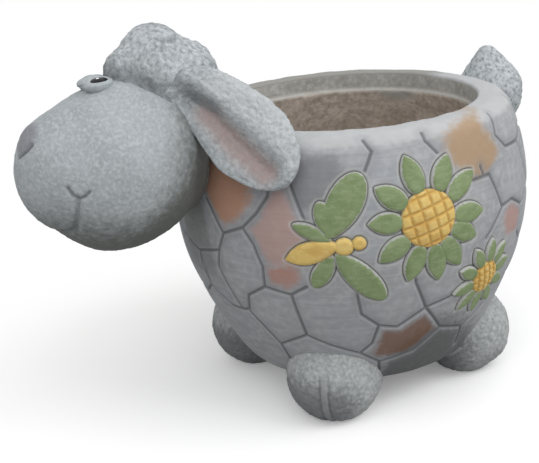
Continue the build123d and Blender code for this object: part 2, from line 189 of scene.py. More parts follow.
def close_up(obj: bpy.types.Object) -> None:
    """Merges doubled vertices and turns all faces outwards."""
    with editing(obj):
        bpy.ops.mesh.remove_doubles(threshold=WELD)
        bpy.ops.mesh.normals_make_consistent(inside=False)


def thicken(obj: bpy.types.Object, depth: float) -> None:
    """Gives a surface sides and a back at some depth below it."""
    with editing(obj):
        bpy.ops.mesh.extrude_region_move(TRANSFORM_OT_translate={"value": (0, 0, -depth)})
    close_up(obj)


def sheet(name: str, across: int, along: int) -> bpy.types.Object:
    """Flat grid from -1 to 1 both ways, the start of a surface that is bent to shape.

    Args:
        name: Name of the new object.
        across: Faces along x.
        along: Faces along y.

    Returns:
        The grid's object.
    """
    deselect()
    bpy.ops.mesh.primitive_grid_add(x_subdivisions=across, y_subdivisions=along, size=2)
    obj = bpy.context.object
    obj.name = obj.data.name = name
    return obj


def ball(name: str, fineness: int) -> bpy.types.Object:
    """Ball of radius 1 with even triangles, the start of a rounded casting.

    Args:
        name: Name of the new object.
        fineness: Subdivisions of the icosphere.

    Returns:
        The ball's object.
    """
    deselect()
    bpy.ops.mesh.primitive_ico_sphere_add(subdivisions=fineness, radius=1)
    obj = bpy.context.object
    obj.name = obj.data.name = name
    return obj


def gap_to(spots: np.ndarray, lines: list[np.ndarray], reach: float) -> np.ndarray:
    """Distance of points from the nearest of some lines in space.

    Args:
        spots: Points, one row each.
        lines: Polylines, each an array of points.
        reach: Distances past this are all given as this.

    Returns:
        One distance for each point.
    """
    best = np.full(len(spots), reach)
    for line in lines:
        middle = line.mean(0)
        span = np.linalg.norm(line - middle, axis=1).max() + reach
        near = np.flatnonzero(np.linalg.norm(spots - middle, axis=1) < span)
        for start, end in zip(line[:-1], line[1:]):
            run = end - start
            from_start = spots[near] - start
            share = np.clip(from_start @ run / max(run @ run, TINY), 0, 1)
            best[near] = np.minimum(best[near], np.linalg.norm(from_start - share[:, None] * run, axis=1))
    return best


def depth_in(flat: np.ndarray, corners: np.ndarray) -> np.ndarray:
    """How far points lie inside a polygon's edge.

    Args:
        flat: Points on the flat, one row each.
        corners: The polygon's corners in order.

    Returns:
        One distance for each point, negative outside.
    """
    best, inside = np.full(len(flat), np.inf), np.zeros(len(flat), bool)
    for start, end in zip(corners, np.roll(corners, -1, 0)):
        run, away = end - start, flat - start
        share = np.clip(away @ run / max(run @ run, TINY), 0, 1)
        best = np.minimum(best, np.linalg.norm(away - share[:, None] * run, axis=1))
        spans = (start[1] > flat[:, 1]) != (end[1] > flat[:, 1])
        inside ^= spans & (away[:, 0] < run[0] * away[:, 1] / (run[1] or TINY))
    return np.where(inside, best, -best)


def smooth_step(values: np.ndarray, low: float, high: float) -> np.ndarray:
    """Rises softly from 0 at low to 1 at high."""
    share = np.clip((values - low) / (high - low), 0, 1)
    return share * share * (3 - 2 * share)


def rounded(inside: np.ndarray, edge: float) -> np.ndarray:
    """Rises from 0 at an edge to 1 at some distance inside it, steep at first."""
    return 1 - (1 - np.clip(inside / edge, 0, 1)) ** 2


def both_flanks(lines: list[np.ndarray]) -> list[np.ndarray]:
    """Lines of the left flank and their mirrors."""
    return lines + [line * (-1, 1, 1) for line in lines]


def subtract(obj: bpy.types.Object, cutter: bpy.types.Object) -> None:
    """Cuts one closed form out of another."""
    modify(obj, "BOOLEAN", operation="DIFFERENCE", solver="EXACT", object=cutter)


def mirrored(obj: bpy.types.Object, name: str) -> bpy.types.Object:
    """Copy of a left piece for the right side, with its own mesh.

    Args:
        obj: The left piece.
        name: Name of the right one.

    Returns:
        The right piece.
    """
    activate(obj)
    bpy.ops.object.duplicate()
    copy = bpy.context.object
    copy.name = copy.data.name = name
    copy.scale.x = -1
    bpy.ops.object.transform_apply(location=False, rotation=False, scale=True)
    with editing(copy):
        bpy.ops.mesh.normals_make_consistent(inside=False)
    return copy


def hand_over(obj: bpy.types.Object, node: str, slot: Slot, *finishes: bpy.types.Material) -> None:
    """Dresses a finished piece, stands it in for its CAD node and lets it ride on the body.

    Args:
        obj: The finished piece.
        node: CAD node that it stands for.
        slot: Material slot of the record; not used.
        finishes: Its materials, in the order of the faces' material numbers.
    """
    activate(obj)
    bpy.ops.object.shade_smooth()
    for finish in finishes:
        obj.data.materials.append(finish)
    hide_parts(node)
    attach(obj, BODY)
    LOG.info("%s stands for %s, %d faces", obj.name, node, len(obj.data.polygons))


def hand_over_pair(left: bpy.types.Object, node: str, slot: Slot, finish: bpy.types.Material) -> None:
    """Mirrors a left piece and hands over both.

    Args:
        left: The finished left piece, with left in its name.
        node: The CAD nodes' name without the side.
        slot: Material slot of the record.
        finish: Material of both.
    """
    right = mirrored(left, left.name.replace("left", "right"))
    for side, piece in zip(Side, (left, right)):
        hand_over(piece, f"{side.word}_{node}", slot, finish)


# Node work


def tone(red: float, green: float, blue: float) -> tuple[float, float, float, float]:
    """Linear colour from display values of 0 to 255."""
    def linear(value: float) -> float:
        share = value / 255
        return share / 12.92 if share <= 0.04045 else ((share + 0.055) / 1.055) ** 2.4
    return linear(red), linear(green), linear(blue), 1.0


class NodeSheet:
    """Adds and joins the nodes of one material or node group."""

    def __init__(self, tree: bpy.types.NodeTree) -> None:
        """Takes an empty node tree."""
        self.tree = tree
        tree.nodes.clear()

    def add(self, kind: str, feeds: dict[object, object] | None = None, **settings: object) -> bpy.types.Node:
        """Adds a node.

        Args:
            kind: The node's type.
            feeds: Values or sockets for its inputs, by name or number.
            settings: Values of the node's own fields.

        Returns:
            The node.
        """
        node = self.tree.nodes.new(kind)
        for name, value in settings.items():
            setattr(node, name, value)
        for name, value in (feeds or {}).items():
            if isinstance(value, bpy.types.NodeSocket):
                self.tree.links.new(value, node.inputs[name])
            else:
                node.inputs[name].default_value = value
        return node

    def mix(self, share: object, first: object, second: object) -> bpy.types.NodeSocket:
        """Colour between two others, by a share from 0 to 1."""
        return self.add("ShaderNodeMix", {0: share, 6: first, 7: second}, data_type="RGBA").outputs[2]

    def lay(self, ground: object, tint: object, mask: object, strength: float) -> bpy.types.NodeSocket:
        """Colour laid over a ground where a mask is, at some strength."""
        return self.mix(self.maths("MULTIPLY", mask, strength), ground, tint)

    def maths(self, kind: str, first: object, second: object = 0.0) -> bpy.types.NodeSocket:
        """Result of one sum."""
        return self.add("ShaderNodeMath", {0: first, 1: second}, operation=kind).outputs[0]

    def ramp(self, value: object, low: float, high: float) -> bpy.types.NodeSocket:
        """Soft rise from 0 at low to 1 at high."""
        node = self.add("ShaderNodeMapRange", {"Value": value, "From Min": low, "From Max": high},
                        interpolation_type="SMOOTHSTEP")
        return node.outputs[0]

    def noise(self, place: object, scale: object, detail: float = 2.0, bend: float = 0.0) -> bpy.types.NodeSocket:
        """Plain noise over a place."""
        feeds = {"Vector": place, "Scale": scale, "Detail": detail, "Distortion": bend}
        return self.add("ShaderNodeTexNoise", feeds).outputs["Fac"]

    def ragged(self, value: object, depth: float, scale: float = 240.0) -> bpy.types.NodeSocket:
        """Value shifted by noise, for an edge that isn't even."""
        shift = self.maths("SUBTRACT", self.noise(self.place(), scale, 5.0), 0.5)
        return self.maths("ADD", value, self.maths("MULTIPLY", shift, depth))

    def place(self) -> bpy.types.NodeSocket:
        """Place on the object, in metres."""
        return self.add("ShaderNodeTexCoord").outputs["Object"]

    def group(self, tree: bpy.types.NodeTree, feeds: dict[str, object]) -> bpy.types.bpy_prop_collection:
        """Places a node group with its values.

        Args:
            tree: The group.
            feeds: Values for its inputs.

        Returns:
            The group's outputs.
        """
        node = self.tree.nodes.new("ShaderNodeGroup")
        node.node_tree = tree
        for name, value in feeds.items():
            node.inputs[name].default_value = value
        return node.outputs

    def attribute(self, name: str) -> bpy.types.NodeSocket:
        """A value kept at the vertices."""
        return self.add("ShaderNodeAttribute", attribute_name=name).outputs["Fac"]


class Group:
    """Node groups that several finishes share, each made once."""

    made: dict[str, bpy.types.NodeTree] = {}

    @classmethod
    def start(cls, name: str, takes: dict[str, str], gives: dict[str, str]) -> tuple[NodeSheet, dict]:
        """Makes an empty group with its sockets.

        Args:
            name: The group's name.
            takes: Input names and their kinds of socket.
            gives: Output names and their kinds of socket.

        Returns:
            The group's node sheet, and its inputs' sockets by name.
        """
        tree = bpy.data.node_groups.new(name, "ShaderNodeTree")
        for way, sockets in (("INPUT", takes), ("OUTPUT", gives)):
            for socket, kind in sockets.items():
                tree.interface.new_socket(socket, in_out=way, socket_type=f"NodeSocket{kind}")
        cls.made[name] = tree
        nodes = NodeSheet(tree)
        return nodes, nodes.add("NodeGroupInput").outputs

    @classmethod
    def cement(cls) -> bpy.types.NodeTree:
        """Cast cement: cloudy tone, dark pores and pale bloom.

        Returns:
            Group that takes tones and sizes, and gives colour, roughness and height.
        """
        if "cement" in cls.made:
            return cls.made["cement"]
        nodes, given = cls.start(
            "cement",
            {"Tone": "Color", "Shade": "Color", "Bloom": "Color", "Fine": "Float", "Broad": "Float",
             "Pores": "Float"},
            {"Color": "Color", "Roughness": "Float", "Height": "Float"},
        )
        place = nodes.place()
        broad = nodes.noise(place, given["Broad"], 3.0, 0.3)
        fine = nodes.noise(place, given["Fine"], 3.0)
        grit = nodes.noise(place, nodes.maths("MULTIPLY", given["Fine"], 2.7), 2.0)
        cloud = nodes.lay(given["Tone"], given["Shade"], nodes.ramp(broad, 0.35, 0.7), 0.5)
        bloom = nodes.lay(cloud, given["Bloom"], nodes.ramp(fine, 0.45, 0.7), 0.7)
        hollow = nodes.ramp(nodes.maths("SUBTRACT", 1.0, fine), 0.52, 0.7)
        pore = nodes.maths("MULTIPLY", hollow, given["Pores"])
        colour = nodes.mix(pore, bloom, given["Shade"])
        height = nodes.maths("ADD", nodes.maths("MULTIPLY", fine, 0.65), nodes.maths("MULTIPLY", grit, 0.35))
        rough = nodes.maths("ADD", 0.78, nodes.maths("MULTIPLY", grit, 0.2))
        nodes.add("NodeGroupOutput", {"Color": colour, "Roughness": rough, "Height": height})
        return nodes.tree

    @classmethod
    def patch(cls) -> bpy.types.NodeTree:
        """Soft dab of paint about a place, alike on both flanks.

        Returns:
            Group that takes the dab's middle and spread, and gives its mask.
        """
        if "patch" in cls.made:
            return cls.made["patch"]
        nodes, given = cls.start(
            "patch", {"Middle": "Vector", "Spread": "Vector", "Strength": "Float"}, {"Mask": "Float"}
        )
        place = nodes.place()
        flank = nodes.add("ShaderNodeVectorMath", {0: place}, operation="ABSOLUTE").outputs[0]
        parts = nodes.add("ShaderNodeSeparateXYZ", {0: place}).outputs
        sides = nodes.add("ShaderNodeSeparateXYZ", {0: flank}).outputs
        folded = nodes.add("ShaderNodeCombineXYZ", {0: sides[0], 1: parts[1], 2: parts[2]}).outputs[0]
        away = nodes.add("ShaderNodeVectorMath", {0: folded, 1: given["Middle"]}, operation="SUBTRACT").outputs[0]
        share = nodes.add("ShaderNodeVectorMath", {0: away, 1: given["Spread"]}, operation="DIVIDE").outputs[0]
        far = nodes.add("ShaderNodeVectorMath", {0: share}, operation="LENGTH").outputs["Value"]
        ragged = nodes.maths("ADD", far, nodes.maths("MULTIPLY", nodes.noise(place, 130.0, 5.0), 0.5))
        mask = nodes.maths("SUBTRACT", 1.0, nodes.ramp(ragged, 0.75, 1.5))
        nodes.add("NodeGroupOutput", {"Mask": nodes.maths("MULTIPLY", mask, given["Strength"])})
        return nodes.tree

    @classmethod
    def streaks(cls) -> bpy.types.NodeTree:
        """Level brush marks of a thin wash.

        Returns:
            Group that takes the marks' spacing and gives their mask.
        """
        if "streaks" in cls.made:
            return cls.made["streaks"]
        nodes, given = cls.start("streaks", {"Spacing": "Vector"}, {"Mask": "Float"})
        place = nodes.add("ShaderNodeVectorMath", {0: nodes.place(), 1: given["Spacing"]}, operation="MULTIPLY")
        marks = nodes.noise(place.outputs[0], 1.0, 4.0, 0.6)
        nodes.add("NodeGroupOutput", {"Mask": nodes.ramp(marks, 0.42, 0.7)})
        return nodes.tree


def new_material(name: str) -> tuple[bpy.types.Material, NodeSheet]:
    """Empty node material and its node sheet."""
    material = bpy.data.materials.new(name)
    material.use_nodes = True
    return material, NodeSheet(material.node_tree)


def end_material(nodes: NodeSheet, colour: object, rough: object, height: object, bump: float) -> None:
    """Adds the shader and the output.

    Args:
        nodes: The material's node sheet.
        colour: Socket of the colour.
        rough: Socket or value of the roughness.
        height: Socket of the bump's height.
        bump: Depth of the bump.
    """
    normal = nodes.add("ShaderNodeBump", {"Height": height, "Distance": bump, "Strength": 1.0}).outputs[0]
    shader = nodes.add("ShaderNodeBsdfPrincipled",
                       {"Base Color": colour, "Roughness": rough, "Normal": normal, "Specular IOR Level": 0.25})
    nodes.add("ShaderNodeOutputMaterial", {"Surface": shader.outputs[0]})


@dataclass(frozen=True)
class Dab:
    """Soft dab of paint about a place on the surface."""

    middle: tuple[float, float, float]
    spread: tuple[float, float, float]
    tint: tuple[float, float, float]
    strength: float


@dataclass(frozen=True)
class Trace:
    """Colour that follows a value kept at the vertices, full at one value and gone at another."""

    value: str
    tint: tuple[float, float, float]
    strength: float
    full: float
    gone: float
    ragged: float = 0.0


@dataclass(frozen=True)
class Wash:
    """Thin wash in level brush marks."""

    tint: tuple[float, float, float]
    strength: float
    spacing: tuple[float, float, float] = (18.0, 18.0, 420.0)


@dataclass(frozen=True)
class Cement:
    """Cast cement in one run of tones, with washes, dabs and traces of colour over it."""

    name: str
    tone: tuple[float, float, float]
    shade: tuple[float, float, float]
    bloom: tuple[float, float, float]
    fine: float = 620.0
    broad: float = 45.0
    pores: float = 0.5
    bump: float = 0.5 * MM
    washes: tuple[Wash, ...] = ()
    dabs: tuple[Dab, ...] = ()
    traces: tuple[Trace, ...] = ()

    def make(self) -> bpy.types.Material:
        """Makes the material.

        Returns:
            The finished material.
        """
        material, nodes = new_material(self.name)
        ground = nodes.group(Group.cement(), {
            "Tone": tone(*self.tone), "Shade": tone(*self.shade), "Bloom": tone(*self.bloom),
            "Fine": self.fine, "Broad": self.broad, "Pores": self.pores,
        })
        colour = ground["Color"]
        for wash in self.washes:
            mask = nodes.group(Group.streaks(), {"Spacing": wash.spacing})["Mask"]
            colour = nodes.lay(colour, tone(*wash.tint), mask, wash.strength)
        for dab in self.dabs:
            mask = nodes.group(Group.patch(), {
                "Middle": dab.middle, "Spread": dab.spread, "Strength": dab.strength,
            })["Mask"]
            colour = nodes.mix(mask, colour, tone(*dab.tint))
        for trace in self.traces:
            value = nodes.attribute(trace.value)
            if trace.ragged:
                value = nodes.ragged(value, trace.ragged)
            mask = nodes.ramp(value, trace.gone, trace.full)
            colour = nodes.lay(colour, tone(*trace.tint), mask, trace.strength)
        end_material(nodes, colour, ground["Roughness"], ground["Height"], self.bump)
        return material


@dataclass(frozen=True)
class Paint:
    """Brushed paint on a raised motif, worn to bare cement at its edge."""

    name: str
    paint: tuple[float, float, float]
    deep: tuple[float, float, float]
    light: tuple[float, float, float]
    bare: tuple[float, float, float]
    rim: float
    spacing: tuple[float, float, float] = (160.0, 160.0, 420.0)

    def make(self) -> bpy.types.Material:
        """Makes the material.

        Returns:
            The finished material.
        """
        material, nodes = new_material(self.name)
        place = nodes.place()
        streaks = nodes.group(Group.streaks(), {"Spacing": self.spacing})["Mask"]
        cloud = nodes.ramp(nodes.noise(place, 70.0, 3.0), 0.35, 0.7)
        colour = nodes.lay(tone(*self.paint), tone(*self.deep), cloud, 0.7)
        colour = nodes.lay(colour, tone(*self.light), streaks, 0.4)
        worn = nodes.ragged(nodes.attribute("edge"), 2.4, 420.0)
        covered = nodes.ramp(worn, self.rim * 0.4, self.rim)
        colour = nodes.mix(covered, tone(*self.bare), colour)
        dark = nodes.ramp(nodes.attribute("joint"), 1.6, 0.2)
        colour = nodes.lay(colour, tone(*self.deep), dark, 0.75)
        height = nodes.noise(place, 700.0, 4.0)
        end_material(nodes, colour, 0.72, height, 0.35 * MM)
        return material


@dataclass(frozen=True)
class Pupil:
    """Gloss black paint with a dot of white for the glint."""

    name: str
    black: tuple[float, float, float]
    glint: tuple[float, float, float]

    def make(self) -> bpy.types.Material:
        """Makes the material.

        Returns:
            The finished material.
        """
        material, nodes = new_material(self.name)
        colour = nodes.mix(nodes.ramp(nodes.attribute("glint"), 0.4, 0.6), tone(*self.black), tone(*self.glint))
        grain = nodes.noise(nodes.place(), 900.0, 2.0)
        rough = nodes.maths("ADD", 0.16, nodes.maths("MULTIPLY", grain, 0.12))
        end_material(nodes, colour, rough, grain, 0.05 * MM)
        return material


@dataclass(frozen=True)
class Steel:
    """Plain drawn bar with a trace of rust."""

    name: str
    bright: tuple[float, float, float]
    rust: tuple[float, float, float]

    def make(self) -> bpy.types.Material:
        """Makes the material.

        Returns:
            The finished material.
        """
        material, nodes = new_material(self.name)
        place = nodes.place()
        rusty = nodes.ramp(nodes.noise(place, 260.0, 5.0), 0.55, 0.75)
        colour = nodes.mix(rusty, tone(*self.bright), tone(*self.rust))
        normal = nodes.add("ShaderNodeBump", {"Height": nodes.noise(place, 900.0, 3.0), "Distance": 0.05 * MM})
        shader = nodes.add("ShaderNodeBsdfPrincipled", {
            "Base Color": colour, "Metallic": nodes.maths("SUBTRACT", 1.0, rusty),
            "Roughness": nodes.maths("ADD", 0.35, nodes.maths("MULTIPLY", rusty, 0.5)), "Normal": normal.outputs[0],
        })
        nodes.add("ShaderNodeOutputMaterial", {"Surface": shader.outputs[0]})
        return material


# The body


@dataclass
class PotForm:
    """Turned form of the body: the arcs of its profile, placed by the frame's own box."""

    shoulder_round: float = 16 * MM
    belly_drop: float = 67 * MM
    belly_curve: float = 160 * MM
    flank_angle: float = 20.0
    base_inset: float = 47.5 * MM
    base_round: float = 28 * MM
    wall: float = 14 * MM
    floor_thick: float = 18 * MM
    floor_round: float = 10 * MM
    mouth_inset: float = 35 * MM
    collar: float = 14 * MM
    collar_step: float = 1.5 * MM
    slope_drop: float = 62 * MM
    rim_round: float = 2.2 * MM
    drain_r: float = 11 * MM
    overlap: float = 0.6 * MM
    finer: int = 8

    def __post_init__(self) -> None:
        """Works out where the arcs meet."""
        low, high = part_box("pot_shell")
        self.axis_y = (low.y + high.y) / 2
        self.base_z, self.rim_z, self.belly_r = low.z, high.z, (high.x - low.x) / 2
        self.belly_z = self.rim_z - self.belly_drop
        self.mouth_r = self.belly_r - self.mouth_inset
        self.belly_cx = self.belly_r - self.belly_curve
        self.shoulder_cz = self.rim_z - self.shoulder_round
        reach = self.belly_curve - self.shoulder_round
        self.shoulder_angle = math.degrees(math.asin((self.shoulder_cz - self.belly_z) / reach))
        self.shoulder_cx = self.belly_cx + reach * math.cos(math.radians(self.shoulder_angle))
        self.shoulder_z = self.belly_z + self.belly_curve * math.sin(math.radians(self.shoulder_angle))
        blend_r, blend_z = math.cos(math.radians(self.flank_angle)), -math.sin(math.radians(self.flank_angle))
        join_r = self.belly_cx + self.belly_curve * blend_r
        self.join_z = self.belly_z + self.belly_curve * blend_z
        drop_r, drop_z = self.belly_r - self.base_inset - join_r, self.base_z - self.join_z
        self.flank_curve = -(drop_r**2 + drop_z**2) / (2 * (drop_r * blend_r + drop_z * blend_z))
        self.flank_cx = join_r - self.flank_curve * blend_r
        self.flank_cz = self.join_z - self.flank_curve * blend_z
        self.base_cz = self.base_z + self.base_round
        self.base_angle, self.base_cx = self.inner_round(self.flank_curve, self.base_round, self.base_cz)
        self.foot_z = self.base_cz + self.base_round * math.sin(math.radians(self.base_angle))
        self.ledge_z = self.rim_z - self.collar
        self.floor_z = self.base_z + self.floor_thick

    def inner_round(self, curve: float, small: float, height: float) -> tuple[float, float]:
        """Round that runs out of the flank's arc.

        Args:
            curve: Radius of the flank's arc.
            small: Radius of the round.
            height: Height of the round's middle.

        Returns:
            Angle where the two meet, and the distance of the round's middle from the axis.
        """
        angle = math.asin((height - self.flank_cz) / (curve - small))
        return math.degrees(angle), self.flank_cx + (curve - small) * math.cos(angle)

    def arc_of(self, z: np.ndarray) -> tuple[np.ndarray, np.ndarray, np.ndarray]:
        """Middle and radius of the outside arc at each height.

        Args:
            z: Heights.

        Returns:
            Distances of the middles from the axis, their heights, and the radii.
        """
        where = [z > self.shoulder_z, z > self.join_z, z > self.foot_z]
        middle_r = np.select(where, [self.shoulder_cx, self.belly_cx, self.flank_cx], self.base_cx)
        middle_z = np.select(where, [self.shoulder_cz, self.belly_z, self.flank_cz], self.base_cz)
        curve = np.select(where, [self.shoulder_round, self.belly_curve, self.flank_curve], self.base_round)
        return middle_r, middle_z, curve

    def radius(self, z: np.ndarray) -> np.ndarray:
        """Outside radius at each height."""
        middle_r, middle_z, curve = self.arc_of(np.asarray(z, float))
        return middle_r + np.sqrt(np.clip(curve**2 - (z - middle_z) ** 2, 0, None))

    def wrap(self, flat: np.ndarray, azimuth: float, height: float) -> np.ndarray:
        """Bends flat work onto the flank.

        Args:
            flat: Points as across, up and out.
            azimuth: Where the work's middle is, from the front round by the left.
            height: Height of its middle.

        Returns:
            Points in the frame.
        """
        z = height + flat[:, 1]
        r = self.radius(z)
        middle_r, middle_z, curve = self.arc_of(z)
        turn = math.radians(azimuth) + np.arcsin(np.clip(flat[:, 0] / r, -1, 1))
        r, z = r + flat[:, 2] * (r - middle_r) / curve, z + flat[:, 2] * (z - middle_z) / curve
        return np.column_stack((r * np.sin(turn), self.axis_y - r * np.cos(turn), z))

    def spot(self, azimuth: float, height: float) -> tuple[float, float, float]:
        """Point on the outside."""
        return tuple(self.wrap(np.zeros((1, 3)), azimuth, height)[0])

    def trace(self, corners: list[tuple[float, float]]) -> np.ndarray:
        """Line on the outside through some corners.

        Args:
            corners: Azimuths and heights in millimetres.

        Returns:
            Points close enough together to follow the surface.
        """
        line = []
        for (turn, z), (next_turn, next_z) in zip(corners[:-1], corners[1:]):
            steps = 2 + int(max(abs(next_turn - turn), abs(next_z - z)) / 3)
            for share in np.linspace(0, 1, steps):
                line.append(self.spot(turn + share * (next_turn - turn), (z + share * (next_z - z)) * MM))
        return np.array(line)

    def profile(self) -> tuple[np.ndarray, int, int, int]:
        """Closed profile from the drain hole's lower edge round the outside and back through the inside.

        Returns:
            Points as radius and height, and the rows of the outside, the collar and the inside.
        """
        def arc(middle: tuple[float, float], curve: float, start: float, end: float, rows: int) -> np.ndarray:
            turn = np.radians(np.linspace(start, end, rows * self.finer, endpoint=False))
            return np.column_stack((middle[0] + curve * np.cos(turn), middle[1] + curve * np.sin(turn)))

        def run(start: tuple[float, float], end: tuple[float, float], rows: int) -> np.ndarray:
            share = np.linspace(0, 1, rows * self.finer, endpoint=False)[:, None]
            return np.array(start) * (1 - share) + np.array(end) * share

        belly, flank = (self.belly_cx, self.belly_z), (self.flank_cx, self.flank_cz)
        inner_belly, inner_flank = self.belly_curve - self.wall, self.flank_curve - self.wall
        slope_z = self.rim_z - self.slope_drop
        slope_angle = math.degrees(math.asin((slope_z - self.belly_z) / inner_belly))
        slope_r = self.belly_cx + inner_belly * math.cos(math.radians(slope_angle))
        step = (self.mouth_r - self.collar_step, self.ledge_z - self.collar_step)
        floor_cz = self.floor_z + self.floor_round
        floor_angle, floor_cx = self.inner_round(inner_flank, self.floor_round, floor_cz)
        lip = self.mouth_r + self.rim_round
        outside = [
            run((self.drain_r, self.base_z), (self.base_cx, self.base_z), 8),
            arc((self.base_cx, self.base_cz), self.base_round, -90, self.base_angle, 8),
            arc(flank, self.flank_curve, self.base_angle, -self.flank_angle, 27),
            arc(belly, self.belly_curve, -self.flank_angle, self.shoulder_angle, 44),
            arc((self.shoulder_cx, self.shoulder_cz), self.shoulder_round, self.shoulder_angle, 90, 10),
            run((self.shoulder_cx, self.rim_z), (lip, self.rim_z), 2),
            arc((lip, self.rim_z - self.rim_round), self.rim_round, 90, 180, 5),
        ]
        collar = [
            run((self.mouth_r, self.rim_z - self.rim_round), (self.mouth_r, self.ledge_z), 7),
            run((self.mouth_r, self.ledge_z), step, 2),
        ]
        inside = [
            run(step, (slope_r, slope_z), 18),
            arc(belly, inner_belly, slope_angle, -self.flank_angle, 10),
            arc(flank, inner_flank, -self.flank_angle, floor_angle, 10),
            arc((floor_cx, floor_cz), self.floor_round, floor_angle, -90, 3),
            run((floor_cx, self.floor_z), (self.drain_r, self.floor_z), 8),
            run((self.drain_r, self.floor_z), (self.drain_r, self.base_z), 4),
        ]
        rows = [sum(len(part) for part in zone) // self.finer for zone in (outside, collar, inside)]
        loop = np.vstack([*outside, *collar, *inside, outside[0][:1]])
        return loop, *rows

    def cutter(self) -> bpy.types.Object:
        """Solid a little inside the outside, to cut the castings that sit on it.

        Returns:
            A plain closed object, deleted after use.
        """
        obj = sheet("pot_cutter", 120, 60)
        flat = points(obj)
        z = self.base_z + (flat[:, 1] + 1) / 2 * (self.rim_z - self.base_z)
        place = self.wrap(np.column_stack((0 * z, z, 0 * z - self.overlap)), 0, 0)
        r, turn = self.axis_y - place[:, 1], np.radians(flat[:, 0] * 180)
        move_points(obj, np.column_stack((r * np.sin(turn), self.axis_y - r * np.cos(turn), place[:, 2])))
        close_up(obj)
        with editing(obj):
            bpy.ops.mesh.select_mode(type="EDGE")
            bpy.ops.mesh.select_all(action="DESELECT")
            bpy.ops.mesh.select_non_manifold()
            bpy.ops.mesh.edge_face_add()
            bpy.ops.mesh.select_all(action="SELECT")
            bpy.ops.mesh.normals_make_consistent(inside=False)
        return obj


@dataclass(frozen=True)
class Leaf:
    """Outline of a petal, a wing or a rounded segment on the flat, in millimetres and degrees."""

    across: float
    up: float
    half_len: float
    half_w: float
    turn: float
    widest: float = 0.0
    tip: float = 0.5
    heel: float = 0.5

    def half_width(self, share: np.ndarray) -> np.ndarray:
        """Half width at a share of the half length, from -1 at the heel to 1 at the tip."""
        off = share - self.widest
        reach = np.where(off > 0, 1 - self.widest, 1 + self.widest)
        body = np.clip(1 - (off / reach) ** 2, 0, 1)
        return self.half_w * body ** np.where(off > 0, self.tip, self.heel)

    def set_out(self, along: np.ndarray, beside: np.ndarray) -> np.ndarray:
        """Turns the leaf's own measures into across and up, in metres."""
        turn = math.radians(self.turn)
        across = self.across + along * math.cos(turn) - beside * math.sin(turn)
        up = self.up + along * math.sin(turn) + beside * math.cos(turn)
        return np.column_stack((across, up)) * MM

    def outline(self, steps: int = 18) -> np.ndarray:
        """Closed line round the leaf, across and up in metres."""
        share = np.sin(np.linspace(-math.pi / 2, math.pi / 2, steps))
        along, beside = share * self.half_len, self.half_width(share)
        return np.vstack((self.set_out(along, beside), self.set_out(along[::-1], -beside[::-1])))

    def cushion(self, name: str, lift: float, edge: float, depth: float) -> bpy.types.Object:
        """Raised cushion of this outline, still flat, with its distance from the edge kept as a value.

        Args:
            name: Name of the new object.
            lift: Height of its flat top.
            edge: Width of its rounded edge, in millimetres.
            depth: How far its side goes down.

        Returns:
            The closed cushion, as across, up and out.
        """
        obj = sheet(name, 22, 12)
        flat = points(obj)
        share, beside = np.sin(flat[:, 0] * math.pi / 2), np.sin(flat[:, 1] * math.pi / 2)
        width = self.half_width(share)
        inside = np.minimum(width * (1 - np.abs(beside)), self.half_len * (1 - np.abs(share)) * 1.2)
        rise = rounded(inside, edge)
        move_points(obj, np.column_stack((self.set_out(share * self.half_len, width * beside), rise * lift)))
        store(obj, "edge", inside)
        thicken(obj, depth)
        return obj


def join(name: str, parts: list[bpy.types.Object]) -> bpy.types.Object:
    """Makes several meshes one object.

    Args:
        name: Name of the joined object.
        parts: The meshes.

    Returns:
        The joined object.
    """
    deselect()
    for part in parts:
        part.select_set(True)
    bpy.context.view_layer.objects.active = parts[0]
    bpy.ops.object.join()
    obj = bpy.context.object
    obj.name = obj.data.name = name
    return obj


@dataclass
class Motif:
    """A raised, painted motif on the flank: leaves of one colour round or beside a part of another."""

    form: PotForm
    azimuth: float
    height: float
    lift: float = 2.0 * MM
    edge: float = 2.4
    depth: float = 2.6 * MM
    heart_lift: float = 1.1

    def leaves(self) -> list[Leaf]:
        """Outlines of the green parts."""
        raise NotImplementedError

    def hearts(self) -> list[Leaf]:
        """Outlines of the yellow parts."""
        raise NotImplementedError

    def outlines(self) -> list[np.ndarray]:
        """Lines round all parts, on the pot's outside."""
        lines = []
        for leaf in self.leaves() + self.hearts():
            flat = leaf.outline()
            lines.append(self.form.wrap(np.column_stack((flat, 0 * flat[:, 0])), self.azimuth, self.height))
        return lines

    def bend(self, obj: bpy.types.Object) -> bpy.types.Object:
        """Bends flat work onto the flank."""
        move_points(obj, self.form.wrap(points(obj), self.azimuth, self.height))
        with editing(obj):
            bpy.ops.mesh.normals_make_consistent(inside=False)
        return obj

    def raised(self, name: str, leaves: list[Leaf], lift: float) -> bpy.types.Object:
        """Builds cushions without joints as one object.

        Args:
            name: Name of the new object.
            leaves: Outlines of the cushions.
            lift: Height of their tops.

        Returns:
            The object, bent onto the flank.
        """
        parts = [leaf.cushion(name, lift, self.edge, self.depth) for leaf in leaves]
        obj = self.bend(join(name, parts))
        store(obj, "joint", np.full(len(obj.data.vertices), NO_JOINT))
        return obj

    def green(self, name: str) -> bpy.types.Object:
        """Builds the green parts as one object."""
        return self.raised(name, self.leaves(), self.lift)

    def yellow(self, name: str) -> bpy.types.Object:
        """Builds the yellow parts as one object."""
        return self.raised(name, self.hearts(), self.lift * self.heart_lift)


